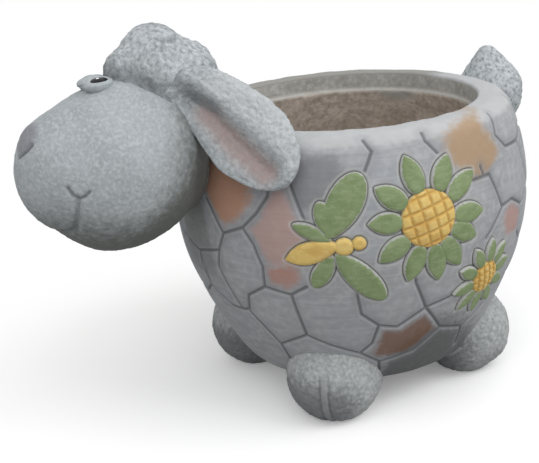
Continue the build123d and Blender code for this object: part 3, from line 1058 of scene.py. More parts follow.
@dataclass
class Flower(Motif):
    """Sunflower: pointed petals about a disc that is cut into squares."""

    disc_r: float = 20.0
    petals: tuple[tuple[float, float], ...] = ()
    petal_half_w: float = 7.6
    petal_tuck: float = 1.5
    square: float = 8.0
    tilt: float = 14.0
    cut_w: float = 0.9
    cut_depth: float = 1.3 * MM
    dome: float = 1.6 * MM

    def leaves(self) -> list[Leaf]:
        """One pointed petal for each angle and tip radius."""
        made = []
        for angle, tip in self.petals:
            inner = self.disc_r - self.petal_tuck
            middle, half = (tip + inner) / 2, (tip - inner) / 2
            turn = math.radians(angle)
            made.append(Leaf(middle * math.cos(turn), middle * math.sin(turn), half, self.petal_half_w, angle,
                             widest=-0.1, tip=0.85, heel=0.4))
        return made

    def hearts(self) -> list[Leaf]:
        """The disc's outline."""
        return [Leaf(0, 0, self.disc_r, self.disc_r, 0)]

    def yellow(self, name: str) -> bpy.types.Object:
        """Builds the disc, domed and cut into squares."""
        obj = sheet(name, 54, 54)
        flat = points(obj)
        x, y = flat[:, 0], flat[:, 1]
        across, up = x * np.sqrt(1 - y * y / 2), y * np.sqrt(1 - x * x / 2)
        inside = self.disc_r * (1 - np.hypot(across, up))
        turn = math.radians(self.tilt)
        rows = self.disc_r * (up * math.cos(turn) - across * math.sin(turn))
        columns = self.disc_r * (across * math.cos(turn) + up * math.sin(turn))
        half = self.square / 2
        cut = np.minimum(half - np.abs(np.mod(rows, self.square) - half),
                         half - np.abs(np.mod(columns + half, self.square) - half))
        rise = rounded(inside, self.edge)
        out = rise * (self.lift + self.dome * (1 - (1 - inside / self.disc_r) ** 2))
        out -= self.cut_depth * np.exp(-((cut / self.cut_w) ** 2)) * smooth_step(inside, 0.3, 2.0)
        move_points(obj, np.column_stack((across * self.disc_r * MM, up * self.disc_r * MM, out)))
        store(obj, "edge", inside)
        store(obj, "joint", cut)
        thicken(obj, self.depth)
        return self.bend(obj)


@dataclass
class Dragonfly(Motif):
    """Dragonfly: a long body of three segments and two pairs of wings."""

    def leaves(self) -> list[Leaf]:
        """The wings."""
        return [
            Leaf(4, 26, 24, 12, 60, widest=0.15, tip=0.5, heel=0.75),
            Leaf(-7, 18, 13, 7.5, 112, widest=0.1, tip=0.6, heel=0.6),
            Leaf(-17, 9.5, 14, 5.2, 157, widest=0.0, tip=0.6, heel=0.7),
            Leaf(13, -23, 24, 9.5, -50, widest=0.1, tip=0.55, heel=0.7),
            Leaf(-11, -18, 14, 6.8, -122, widest=0.1, tip=0.55, heel=0.7),
        ]

    def hearts(self) -> list[Leaf]:
        """Abdomen, thorax and head."""
        return [
            Leaf(-18, -4.4, 19, 8.0, 17, widest=-0.1, tip=0.6, heel=0.85),
            Leaf(3.5, -0.4, 6.5, 6.3, 0),
            Leaf(13.5, 1.4, 4.8, 4.8, 0),
        ]


@dataclass(frozen=True)
class PavingTint:
    """Colour laid over an area of the paving, alike on both flanks: paint rubbed into stones, and painted shade and
    shadow.

    Corners and heart are azimuths in degrees and heights in millimetres.
    """

    name: str
    corners: tuple[tuple[float, float], ...]
    heart: tuple[float, float]
    reach: float
    tint: tuple[float, float, float]
    strength: float
    fade: float = 5.0
    spill: float = 1.7

    def cover(self, form: PotForm, azimuth: np.ndarray, height: np.ndarray) -> np.ndarray:
        """Cover at points of the outside.

        Args:
            form: The bowl's form.
            azimuth: Degrees from the front, positive on both sides.
            height: Heights in metres.

        Returns:
            Cover from 0 to 1 for each point.
        """
        def unroll(turn: np.ndarray, z: np.ndarray) -> np.ndarray:
            return np.column_stack((np.radians(turn) * form.radius(z), z)) / MM

        flat = unroll(azimuth, height)
        corners = np.array(self.corners)
        heart = unroll(np.array([self.heart[0]]), np.array([self.heart[1]]) * MM)
        edge = np.clip(depth_in(flat, unroll(corners[:, 0], corners[:, 1] * MM)) / self.fade, 0, 1)
        return edge * np.clip(self.spill - np.linalg.norm(flat - heart, axis=1) / self.reach, 0, 1)


@dataclass
class PavedPot:
    """Bowl of the planter with crazy paving cut into its outside."""

    form: PotForm
    motifs: tuple[Motif, ...]
    paving_tints: tuple[PavingTint, ...] = (
        # Painted shadow of the ear on the flank, below and beside its tip.
        PavingTint("smoke_ear",
              ((40, 213), (60, 215), (60, 192), (50, 168), (38, 160), (33, 178)),
              (47, 190), 17, (118, 119, 122), 0.65, 14.0),
        # Painted shade on the front of the bowl under the head.
        PavingTint("painted_shade_under_head",
              ((-12, 178), (7, 174), (10, 150), (10, 108), (-12, 102)),
              (2, 140), 34, (120, 120, 116), 0.5, 8.0),
        # Dark brushing between the stones and painted shade, low on the flank towards the rear feet.
        PavingTint("brush_and_shade_low",
              ((54, 4), (58, 40), (66, 62), (84, 100), (104, 112), (128, 100), (140, 4)),
              (90, 30), 50, (80, 83, 81), 0.8, 16.0),
        PavingTint("pavingtint_orange",
              ((2, 206), (7.5, 172), (10, 166), (15, 150), (23, 157), (28, 168), (32, 181), (32, 206)),
              (15, 181), 21, (182, 132, 100), 0.8, 8.0),
        PavingTint("pavingtint_rose",
              ((23, 157), (26.5, 146), (28.7, 130), (28, 114), (36.7, 110), (42, 117), (46, 146),
               (43.2, 165.5), (39, 192), (32, 192), (28, 168)),
              (35, 160), 25, (184, 146, 135), 0.65, 10.0),
        PavingTint("pavingtint_brick",
              ((27, 138), (28, 114), (36.7, 110), (42, 117), (46, 138)),
              (36, 120), 13, (174, 126, 108), 0.7, 11.0),
        PavingTint("pavingtint_tan",
              ((80, 222), (113, 222), (111, 200), (115, 190), (104, 176), (97, 170), (89, 180), (82, 200)),
              (101, 201), 28, (170, 140, 105), 0.82, 11.0),
        PavingTint("pavingtint_pink",
              ((106, 153), (114.3, 155), (123, 145), (122, 120), (107, 122)),
              (115, 141), 13, (178, 136, 124), 0.7, 10.0),
        PavingTint("pavingtint_brown",
              ((57, 57), (61.5, 66), (63.7, 82.5), (70, 79), (79.3, 92), (87.3, 70), (78, 52), (64.5, 46)),
              (74, 69), 30, (120, 88, 67), 0.82, 7.0),
    )
    columns: int = 260
    fine_reach: float = 2.1 * MM
    seam_share: float = 0.975
    cut_half_w: float = 1.25 * MM
    cut_depth: float = 1.5 * MM
    outline_depth: float = 1.1 * MM
    pillow: float = 0.5 * MM
    pillow_reach: float = 5 * MM
    reach: float = 12 * MM
    rim_band: float = 12 * MM

    @staticmethod
    def joints() -> list[list[tuple[float, float]]]:
        """Paving joints of the left half, as azimuth in degrees and height in millimetres.

        Returns:
            Lines of corners; the right half mirrors them.
        """
        front = [
            [(32, 196), (32, 181), (28, 168), (23, 157), (15, 150), (10, 166), (7.5, 172)],
            [(15, 150), (12, 136), (0, 129), (-1, 116), (0, 100), (9, 88), (14.5, 88), (18, 90), (20.5, 104)],
            [(12, 136), (10, 122), (13, 101), (14.5, 88)],
            [(23, 157), (26.5, 146), (28.7, 130), (28, 114), (20.5, 104)],
            [(28, 114), (36.7, 110), (42, 117)],
            [(36.7, 110), (38.5, 74), (46, 66), (57, 57), (61.5, 66), (63.7, 82.5), (58, 94), (57, 112)],
            [(18, 88), (22, 75), (26, 61), (38.5, 74)],
            [(26, 61), (27, 42)],
            [(39, 190), (43.2, 165.5)],
            [(61.5, 214), (63.7, 207), (61, 195)],
        ]
        flank = [
            [(63.7, 82.5), (70, 79), (79.3, 92), (75, 114), (74.5, 119)],
            [(57, 57), (64.5, 46), (78, 52), (87.3, 70), (79.3, 92), (90, 97)],
            [(64.5, 46), (65, 36)],
            [(87.3, 70), (100, 61), (109, 72), (117, 79), (124, 92)],
            [(100, 61), (103, 42)],
            [(81, 214), (81, 209), (84.3, 200)],
            [(112.5, 214), (110.5, 200), (115, 190), (126, 188)],
            [(95, 177.5), (103, 177.5), (107.8, 152), (114.3, 153), (122, 144)],
            [(99.5, 185), (100.3, 178)],
            [(107.8, 151), (100, 134)],
        ]
        back = [
            [(122, 144), (135, 149), (146, 141), (160, 146), (174, 140)],
            [(126, 188), (137, 194), (150, 186), (163, 190)],
            [(126, 188), (129, 168), (135, 149)],
            [(150, 186), (154, 166), (160, 146)],
            [(137, 194), (139, 213)],
            [(122, 144), (121, 124), (127, 112), (139, 115), (146, 141)],
            [(127, 112), (124, 92), (132, 78), (147, 84), (150, 105), (139, 115)],
            [(150, 105), (165, 110), (168, 142)],
            [(147, 84), (160, 76), (172, 84), (165, 110)],
            [(132, 78), (130, 56), (131, 40)],
            [(160, 76), (157, 54), (158, 38)],
        ]
        return front + flank + back

    def lines(self) -> list[np.ndarray]:
        """Paving joints of both halves on the outside."""
        return both_flanks([self.form.trace(line) for line in self.joints()])

    def outlines(self) -> list[np.ndarray]:
        """Lines round the motifs of both flanks."""
        return both_flanks([line for motif in self.motifs for line in motif.outlines()])

    def roll(self, flat: np.ndarray, loop: np.ndarray) -> tuple[np.ndarray, np.ndarray]:
        """Rolls the flat sheet up into the bowl.

        Args:
            flat: The sheet's points.
            loop: The closed profile.

        Returns:
            Points of the bowl and their outward directions.
        """
        index = (flat[:, 1] + 1) / 2 * (len(loop) - 1)
        stations = np.arange(len(loop))
        slope = np.gradient(loop, axis=0)
        slope /= np.linalg.norm(slope, axis=1)[:, None]
        r, z, dr, dz = (np.interp(index, stations, row) for row in (*loop.T, *slope.T))
        turn = np.radians(flat[:, 0] * 180)
        place = np.column_stack((r * np.sin(turn), self.form.axis_y - r * np.cos(turn), z))
        return place, np.column_stack((dz * np.sin(turn), -dz * np.cos(turn), -dr))

    def build(self) -> bpy.types.Object:
        """Builds the bowl, with finer faces along the joints.

        Returns:
            The bowl's object.
        """
        loop, outer, collar, inner = self.form.profile()
        rows = outer + collar + inner
        obj = sheet("pot_body", self.columns, rows)
        lines, outlines = self.lines(), self.outlines()
        flat = points(obj)
        place, _ = self.roll(flat, loop)
        near = gap_to(place, lines + outlines, self.reach) < self.fine_reach
        corners = np.array([face.vertices[:] for face in obj.data.polygons])
        face_y = (flat[corners, 1].mean(1) + 1) / 2 * rows
        fine = near[corners].any(1) & (np.abs(flat[corners, 0]).max(1) < self.seam_share) & (face_y < outer)
        finish = np.digitize(face_y, [outer, outer + collar]).astype(np.int32)
        obj.data.polygons.foreach_set("material_index", finish)
        with editing(obj, fine):
            bpy.ops.mesh.subdivide(number_cuts=2)
        flat = points(obj)
        row = (flat[:, 1] + 1) / 2 * rows
        outside = row <= outer
        place, out = self.roll(flat, loop)
        joint, outline = gap_to(place, lines, self.reach), gap_to(place, outlines, self.reach)
        joint[~outside] = outline[~outside] = self.reach
        sink = self.cut_depth * np.exp(-((joint / self.cut_half_w) ** 2))
        sink = np.maximum(sink, self.outline_depth * np.exp(-((outline / self.cut_half_w) ** 2)))
        sink += self.pillow * np.exp(-joint / self.pillow_reach) * outside
        move_points(obj, place - out * sink[:, None])
        store(obj, "joint", joint / MM)
        store(obj, "outline", outline / MM)
        # Paler along the top of the rim on the left flank, darker along it on the right flank.
        rim = smooth_step(place[:, 2], self.form.rim_z - self.rim_band, self.form.rim_z - 2 * MM)
        near_side = smooth_step(place[:, 0], -0.6 * self.form.mouth_r, 0.1 * self.form.mouth_r)
        store(obj, "rim", rim * near_side)
        store(obj, "darkening", rim * (1 - near_side))
        # Distance from the ledge inside the mouth, for a pale line there that is a painted highlight of a lit step.
        store(obj, "ledge", np.abs(place[:, 2] - self.form.ledge_z) / MM)
        azimuth = np.degrees(np.arctan2(np.abs(place[:, 0]), self.form.axis_y - place[:, 1]))
        for paving_tint in self.paving_tints:
            store(obj, paving_tint.name, paving_tint.cover(self.form, azimuth, place[:, 2]) * outside)
        weigh(obj, "inside", smooth_step(row, outer + collar - 3, outer + collar + 3) * (row < rows - 4))
        weigh(obj, "edge", rim)
        close_up(obj)
        roughen(obj, 38 * MM, 1.0 * MM)
        roughen(obj, 13 * MM, 1.2 * MM, "edge")
        roughen(obj, 7 * MM, 2.2 * MM, "inside")
        roughen(obj, 24 * MM, 3.0 * MM, "inside")
        return obj


# The head and its parts


@dataclass
class SheepHead:
    """Egg shaped head with nose, smile and neck."""

    form: PotForm
    half_len: float = 63.5 * MM
    radius: float = 54.3 * MM
    lift: float = 8.7
    neck_r: float = 20 * MM
    neck_drop: float = 29 * MM
    neck_flare: float = 12 * MM
    head_drop: float = 14 * MM
    bed: float = 2.5 * MM
    crown_r: float = 50 * MM
    crown_behind: float = 18 * MM
    crown_above: float = 10 * MM
    crown_blend: float = 1.2 * MM
    cheek_slim: float = 0.055
    chin_full: float = 0.035
    cheek_at: float = 55.0
    cheek_span: float = 18.0
    chin_span: float = 24.0
    mark_reach: float = 12 * MM
    nose_up: float = 25.0
    nose_half: tuple[float, float] = (13.0, 19.0)
    line_half_w: float = 1.6 * MM
    line_depth: float = 1.8 * MM
    bend_half_w: float = 2.2 * MM
    bend_depth: float = 2.2 * MM
    nose_lift: float = 1.1 * MM
    overlap: float = 1.5 * MM

    def __post_init__(self) -> None:
        """Finds the egg's middle from the frame."""
        low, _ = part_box("head")
        lift = math.radians(self.lift)
        front = math.hypot(self.half_len * math.cos(lift), self.radius * math.sin(lift))
        self.middle = np.array((0.0, low.y + front, self.form.rim_z - self.head_drop))
        self.ahead = np.array((0.0, -math.cos(lift), math.sin(lift)))
        self.up = np.array((0.0, math.sin(lift), math.cos(lift)))
        self.side = np.array((1.0, 0.0, 0.0))

    def egg(self, unit: np.ndarray, grow: float = 0.0) -> np.ndarray:
        """Points of the egg from points of a ball that faces -Y."""
        long, wide = self.half_len + grow, self.radius + grow
        away = (np.outer(unit[:, 0] * wide, self.side) + np.outer(unit[:, 2] * wide, self.up)
                - np.outer(unit[:, 1] * long, self.ahead))
        from_nose = np.degrees(np.arccos(np.clip(-unit[:, 1], -1, 1)))
        from_chin = np.degrees(np.arccos(np.clip(-unit[:, 2], -1, 1)))
        slim = self.cheek_slim * np.exp(-(((from_nose - self.cheek_at) / self.cheek_span) ** 2))
        full = self.chin_full * np.exp(-((from_chin / self.chin_span) ** 2))
        away *= (1 - slim + full)[:, None]
        reach = np.linalg.norm(away, axis=1)
        crown = np.array((0.0, self.crown_behind, self.crown_above))
        toward = away @ crown / reach
        crown_reach = toward + np.sqrt(np.clip(toward**2 - crown @ crown + (self.crown_r + grow) ** 2, 0, None))
        swell = np.log1p(np.exp((crown_reach - reach) / self.crown_blend)) * self.crown_blend
        return self.middle + away * (1 + swell * (crown_reach > 0) / reach)[:, None]

    def on_face(self, corners: list[tuple[float, float]], side: Side) -> np.ndarray:
        """Line on the egg.

        Args:
            corners: Degrees up from the muzzle's line and degrees round to the side.
            side: Which side of the face.

        Returns:
            Points along the line.
        """
        spots = []
        for (up, turn), (next_up, next_turn) in zip(corners[:-1], corners[1:]):
            for share in np.linspace(0, 1, 8):
                rise = math.radians(up + share * (next_up - up))
                round_ = math.radians(turn + share * (next_turn - turn)) * side.value
                spots.append((math.cos(rise) * math.sin(round_), -math.cos(rise) * math.cos(round_), math.sin(rise)))
        return self.egg(np.array(spots))

    def cutter(self) -> bpy.types.Object:
        """Egg a little smaller than the head, to cut what sits on it."""
        obj = ball("head_cutter", 5)
        move_points(obj, self.egg(points(obj), -self.overlap))
        return obj

    def build(self) -> bpy.types.Object:
        """Builds the head.

        Returns:
            The head's object.
        """
        obj = ball("head_casting", 7)
        unit = points(obj)
        place = self.egg(unit)
        dimple = [(-4, 45), (-9, 48), (-11, 52), (-10, 55), (-6, 58.5)]
        smile = [(-11, 51), (-25, 48.5), (-34, 45.5), (-41, 41), (-45, 32), (-48, 18), (-49, 0)]
        nose = [(21, 14), (16, 10), (10, 0)]
        marks = [self.on_face(line, side) for line in (dimple, nose) for side in Side]
        soft = [self.on_face(smile, side) for side in Side]
        mark, bend = (gap_to(place, lines, self.mark_reach) for lines in (marks, soft))
        away = place - self.middle
        out = away / np.linalg.norm(away, axis=1)[:, None]
        rise = np.degrees(np.arcsin(np.clip(unit[:, 2], -1, 1)))
        turn = np.degrees(np.arctan2(unit[:, 0], -unit[:, 1]))
        from_nose = np.hypot((rise - self.nose_up) / self.nose_half[0], turn / self.nose_half[1])
        nose_share = 1 - smooth_step(from_nose, 0.55, 1.15)
        sink = self.line_depth * np.exp(-((mark / self.line_half_w) ** 2))
        sink = np.maximum(sink, self.bend_depth * np.exp(-((bend / self.bend_half_w) ** 2)))
        place += out * (self.nose_lift * nose_share - sink)[:, None]
        front_y = self.form.axis_y - np.sqrt(np.clip(
            (self.form.radius(place[:, 2]) + self.bed) ** 2 - place[:, 0] ** 2, 0, None))
        from_neck = np.hypot(place[:, 0], place[:, 2] - (self.form.rim_z - self.neck_drop))
        neck = (1 - smooth_step(from_neck, self.neck_r, self.neck_r + self.neck_flare)) * (unit[:, 1] > 0)
        place[:, 1] = np.maximum(place[:, 1], place[:, 1] + neck * (front_y - place[:, 1]))
        inside = place[:, 2] < self.form.rim_z
        place[inside, 1] = np.minimum(place[inside, 1], front_y[inside])
        move_points(obj, place)
        # Dark colour along the carved dimple, nose and smile lines is painted shade in those grooves.
        store(obj, "mark", mark / MM)
        store(obj, "bend", bend / MM)
        store(obj, "nose", nose_share)
        # Painted shade under the head and at its back, where it meets the bowl.
        store(obj, "under", np.clip(-unit[:, 2], 0, 1) + np.clip(1.2 * unit[:, 1], 0, 1))
        roughen(obj, 3.2 * MM, 0.85 * MM)
        roughen(obj, 26 * MM, 1.2 * MM)
        return obj


@dataclass
class WoolTuft:
    """Lumpy tuft of wool on the head, from round lobes."""

    head: SheepHead
    voxel: float = 1.7 * MM
    lobes: tuple[tuple[float, float, float, float], ...] = (
        (0, 38, 42, 33),
        (0, 40, 66.5, 23.5),
        (0, 21, 61, 16.5),
        (0, 52, 70, 13.5),
        (0, 54, 60, 20.5),
        (0, 63.5, 55, 20.5),
        (15, 36, 60, 19),
        (-15, 36, 60, 19),
        (17, 58, 54, 18),
        (-17, 58, 54, 18),
    )

    def build(self) -> bpy.types.Object:
        """Builds the tuft.

        Returns:
            The tuft's object.
        """
        parts = []
        for side, behind, above, radius in self.lobes:
            lobe = ball("tuft_lobe", 5)
            middle = self.head.middle + np.array((side, behind, above)) * MM
            move_points(lobe, points(lobe) * radius * MM + middle)
            parts.append(lobe)
        obj = join("wool_tuft", parts)
        modify(obj, "REMESH", mode="VOXEL", voxel_size=self.voxel)
        modify(obj, "SMOOTH", factor=0.5, iterations=16)
        roughen(obj, 17 * MM, 3.0 * MM)
        roughen(obj, 4.5 * MM, 2.4 * MM)
        cutter = self.head.cutter()
        subtract(obj, cutter)
        bpy.data.objects.remove(cutter)
        away = points(obj) - self.head.middle
        crown = away - (0.0, self.head.crown_behind, self.head.crown_above)
        above = np.minimum(np.linalg.norm(away, axis=1) - self.head.radius,
                           np.linalg.norm(crown, axis=1) - self.head.crown_r)
        # Height above the head, for painted shade at the foot of the tuft where it overhangs.
        store(obj, "brim", above / MM)
        return obj


@dataclass
class Ear:
    """Drooping ear: a thick leaf with a rolled upper edge and a dished face."""

    head: SheepHead
    root: tuple[float, float, float] = (32 * MM, 46.2 * MM, 52 * MM)
    face: tuple[float, float, float] = (0.722, -0.643, 0.256)
    run: tuple[float, float, float] = (0.611, 0.418, -0.672)
    middle: float = 42 * MM
    half_len: float = 52 * MM
    half_w: float = 25.5 * MM
    half_thick: float = 8 * MM
    root_blunt: float = 5.0
    root_drop: float = 5 * MM
    root_slim: float = 0.4
    roll_spread: float = 0.3
    roll_rise: float = 1.45
    dish_floor: float = -0.2
    lip_rise: float = 0.35
    crease_sink: float = 0.15
    bed_back: float = 38 * MM
    bed_above: float = 10 * MM
    bed_half: tuple[float, float, float] = (4 * MM, 6 * MM, 4 * MM)

    def spread(self, along: np.ndarray, beside: np.ndarray, out: np.ndarray) -> np.ndarray:
        """Places of points of the leaf.

        Args:
            along: Distances from the leaf's middle to its tip.
            beside: Distances to its upper edge.
            out: Distances out of its face.

        Returns:
            The places.
        """
        run, face = Vector(self.run).normalized(), Vector(self.face)
        face = (face - run * face.dot(run)).normalized()
        start = self.head.middle + np.array(self.root) + np.array(run) * self.middle
        return start + np.outer(along, run) + np.outer(beside, face.cross(run)) + np.outer(out, face)

    def bed(self) -> bpy.types.Object:
        """Builds the lens of mortar in the left ear's root.

        Returns:
            The bed's object.
        """
        obj = ball("ear_bed_left", 5)
        along, beside, out = (points(obj) * self.bed_half).T
        move_points(obj, self.spread(along - self.bed_back, beside + self.bed_above, out))
        roughen(obj, 5 * MM, 0.8 * MM)
        return obj

    def build(self) -> bpy.types.Object:
        """Builds the left ear.

        Returns:
            The ear's object.
        """
        obj = ball("ear_casting_left", 7)
        unit = points(obj)
        x, y, z = unit.T
        blunt = np.where(x < 0, np.sqrt((1 - np.abs(x) ** self.root_blunt) / np.maximum(1 - x**2, TINY)), 1)
        spread = np.where(y > 0, 1 + self.roll_spread * smooth_step(x, -0.6, 0.6), 1)
        slim = np.where(y < 0, 1 - self.root_slim * smooth_step(-x, -0.35, 0.8), 1)
        beside = y * blunt * spread * slim * self.half_w - self.root_drop * smooth_step(-x, 0.2, 1.0)
        front = z > 0
        below_roll = 1 - smooth_step(y, -0.2, 0.42)
        dish_share = below_roll * smooth_step(x, -0.95, -0.5) * (1 - smooth_step(x, 0.7, 0.98)) * front
        lip_share = smooth_step(-y, 0.05, 0.85)
        dished = self.dish_floor + (self.lip_rise - self.dish_floor) * lip_share
        rise = np.where(front, self.roll_rise + (dished - self.roll_rise) * dish_share, 1)
        crease = np.exp(-(((y - 0.1) / 0.2) ** 2)) * (1 - smooth_step(x, -0.4, 0.1)) * front
        rise = rise - self.crease_sink * crease
        thick = np.sign(z) * np.abs(z) ** 0.72 * self.half_thick * rise * blunt
        move_points(obj, self.spread(x * self.half_len, beside, thick))
        store(obj, "dish", dish_share * (1 - smooth_step(-y, 0.15, 0.95)) * smooth_step(x, -0.75, -0.3))
        # Upper roll of the face side, for a painted highlight where it faces up.
        store(obj, "roll", (1 - below_roll) * front * smooth_step(x, -0.9, -0.4))
        # Crease under the roll, for a painted shadow along it.
        store(obj, "crease", crease)
        weigh(obj, "wool", 1 - 0.75 * dish_share)
        roughen(obj, 3.6 * MM, 1.8 * MM, "wool")
        roughen(obj, 15 * MM, 1.6 * MM)
        return obj


@dataclass
class Eye:
    """Smooth pad on top of the head with an almond shaped pupil."""

    head: SheepHead
    side: float = 5.6 * MM
    ahead: float = 2.2 * MM
    rise: float = 2.3 * MM
    radius: float = 9 * MM
    split: float = 0.3 * MM
    pad_scale: tuple[float, float, float] = (0.92, 1.06, 0.6)
    gaze: tuple[float, float, float] = (0.45, -0.06, 0.89)
    pupil_half_w: float = 4.6 * MM
    pupil_half_len: float = 6.2 * MM
    pupil_thick: float = 1.3 * MM
    pupil_sink: float = 0.6 * MM
    lid_at: float = 1.35
    lid_span: float = 0.35
    lid_rise: float = 0.9 * MM
    glint_at: tuple[float, float] = (1.2, 0.6)

    def __post_init__(self) -> None:
        """Finds the pad's middle and the way that it looks."""
        self.middle = self.head.middle + np.array((self.side, -self.ahead, self.head.radius + self.rise))
        self.look = np.array(self.gaze) / np.linalg.norm(self.gaze)
        self.slope = np.cross((1.0, 0.0, 0.0), self.look)
        self.slope /= np.linalg.norm(self.slope)
        self.cross = np.cross(self.slope, self.look)

    def pad(self) -> bpy.types.Object:
        """Builds the left pad, with a raised lid round the pupil.

        Returns:
            The pad's object.
        """
        obj = ball("eye_pad_left", 6)
        unit = points(obj)
        x, y, z = unit @ self.cross, unit @ self.slope, unit @ self.look
        ring = np.hypot(x * self.radius / self.pupil_half_w, y * self.radius / self.pupil_half_len)
        lid = np.exp(-(((ring - self.lid_at) / self.lid_span) ** 2)) * self.lid_rise * (z > 0)
        hollow = (1 - smooth_step(ring, 0.7, 1.15)) * self.lid_rise * (z > 0)
        place = self.middle + unit * (self.radius + lid - hollow)[:, None] * self.pad_scale
        place[:, 0] = np.maximum(place[:, 0], self.split)
        move_points(obj, place)
        close_up(obj)
        return obj

    def pupil(self) -> bpy.types.Object:
        """Builds the left pupil.

        Returns:
            The pupil's object.
        """
        obj = ball("pupil_left", 5)
        unit = points(obj)
        narrow = (1 - np.abs(unit[:, 1]) ** 2.2) ** 0.25
        x, y = unit[:, 0] * self.pupil_half_w * narrow, unit[:, 1] * self.pupil_half_len
        drop = self.radius - np.sqrt(self.radius**2 - x**2 - y**2)
        out = self.radius - self.pupil_sink - drop + unit[:, 2] * self.pupil_thick * 0.6
        spots = np.outer(x, self.cross) + np.outer(y, self.slope) + np.outer(out, self.look)
        place = self.middle + spots * self.pad_scale
        place[:, 0] = np.maximum(place[:, 0], self.split)
        move_points(obj, place)
        spot = np.hypot(x / MM - self.glint_at[0], y / MM - self.glint_at[1])
        store(obj, "glint", 1 - smooth_step(spot, 0.7, 1.2))
        close_up(obj)
        return obj


# Tail and feet


@dataclass
class Tail:
    """Teardrop tail against the back wall."""

    form: PotForm
    radius: float = 26 * MM
    half_h: float = 34 * MM
    lean: float = -5.0
    drop: float = 16 * MM
    forward: float = 2.5 * MM
    point: float = 0.42

    def build(self) -> bpy.types.Object:
        """Builds the tail.

        Returns:
            The tail's object.
        """
        obj = ball("tail_casting", 6)
        unit = points(obj)
        _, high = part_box("tail")
        lean = math.radians(self.lean)
        back = math.hypot(self.radius * math.cos(lean), self.half_h * math.sin(lean))
        slim = 1 - self.point * smooth_step(unit[:, 2], 0.0, 1.0)
        x, y, z = unit[:, 0] * self.radius * slim, unit[:, 1] * self.radius * slim, unit[:, 2] * self.half_h
        y, z = y * math.cos(lean) + z * math.sin(lean), z * math.cos(lean) - y * math.sin(lean)
        middle = np.array((0, high.y - back - self.forward, self.form.rim_z - self.drop))
        move_points(obj, np.column_stack((x, y, z)) + middle)
        roughen(obj, 3.6 * MM, 1.6 * MM)
        roughen(obj, 16 * MM, 1.8 * MM)
        return obj


@dataclass
class Foot:
    """Rough rounded foot with a cleft toe."""

    form: PotForm
    radius: float = 35 * MM
    half_h: float = 35 * MM
    middle_z: float = 31 * MM
    inset: float = 0.6 * MM
    turn: float = 44.0
    strip_half_w: float = 3.1 * MM
    strip_rise: float = 0.3 * MM
    groove_half_w: float = 1.2 * MM
    groove_depth: float = 0.8 * MM
    rear_clean: float = 0.3

    def build(self, name: str, side: Side, way: int) -> bpy.types.Object:
        """Builds one foot.

        Args:
            name: Name of the new object.
            side: Left or right.
            way: -1 for a front foot and 1 for a rear one.

        Returns:
            The foot's object.
        """
        obj = ball(name, 7)
        unit = points(obj)
        turn = math.radians(self.turn)
        out = np.array((side.value * math.sin(turn), way * math.cos(turn), 0))
        cross = np.array((-out[1], out[0], 0))
        spread = self.form.belly_r - self.form.base_inset - self.inset
        middle = out * spread + np.array((0, self.form.axis_y, self.middle_z))
        beside, ahead = unit @ cross * self.radius, unit @ out
        toe = smooth_step(ahead, 0.3, 0.6) * (1 - smooth_step(unit[:, 2], 0.2, 0.6))
        strip = (1 - smooth_step(np.abs(beside), 0.5 * self.strip_half_w, self.strip_half_w)) * toe
        groove = np.exp(-(((np.abs(beside) - self.strip_half_w) / self.groove_half_w) ** 2)) * toe
        place = middle + unit * (self.radius, self.radius, self.half_h)
        place += unit * (strip * self.strip_rise - groove * self.groove_depth)[:, None]
        move_points(obj, place)
        store(obj, "strip", strip)
        # Grooves beside the toe's strip, for painted shade in them.
        store(obj, "groove", groove)
        # Painted shade, darker towards the bottom and the front of each foot, less of it on the rear feet.
        shade_shift = self.rear_clean if way > 0 else 0.0
        toward_front = smooth_step(-unit[:, 1], shade_shift - 0.35, shade_shift + 0.65)
        store(obj, "darkening", toward_front * smooth_step(-unit[:, 2], -0.6, 0.2))
        weigh(obj, "rough", 1 - 0.8 * strip)
        roughen(obj, 4 * MM, 1.2 * MM, "rough")
        roughen(obj, 18 * MM, 2.2 * MM)
        with editing(obj):
            bpy.ops.mesh.bisect(plane_co=(0, 0, 0), plane_no=(0, 0, 1), use_fill=True, clear_inner=True)
        return obj


# Studio


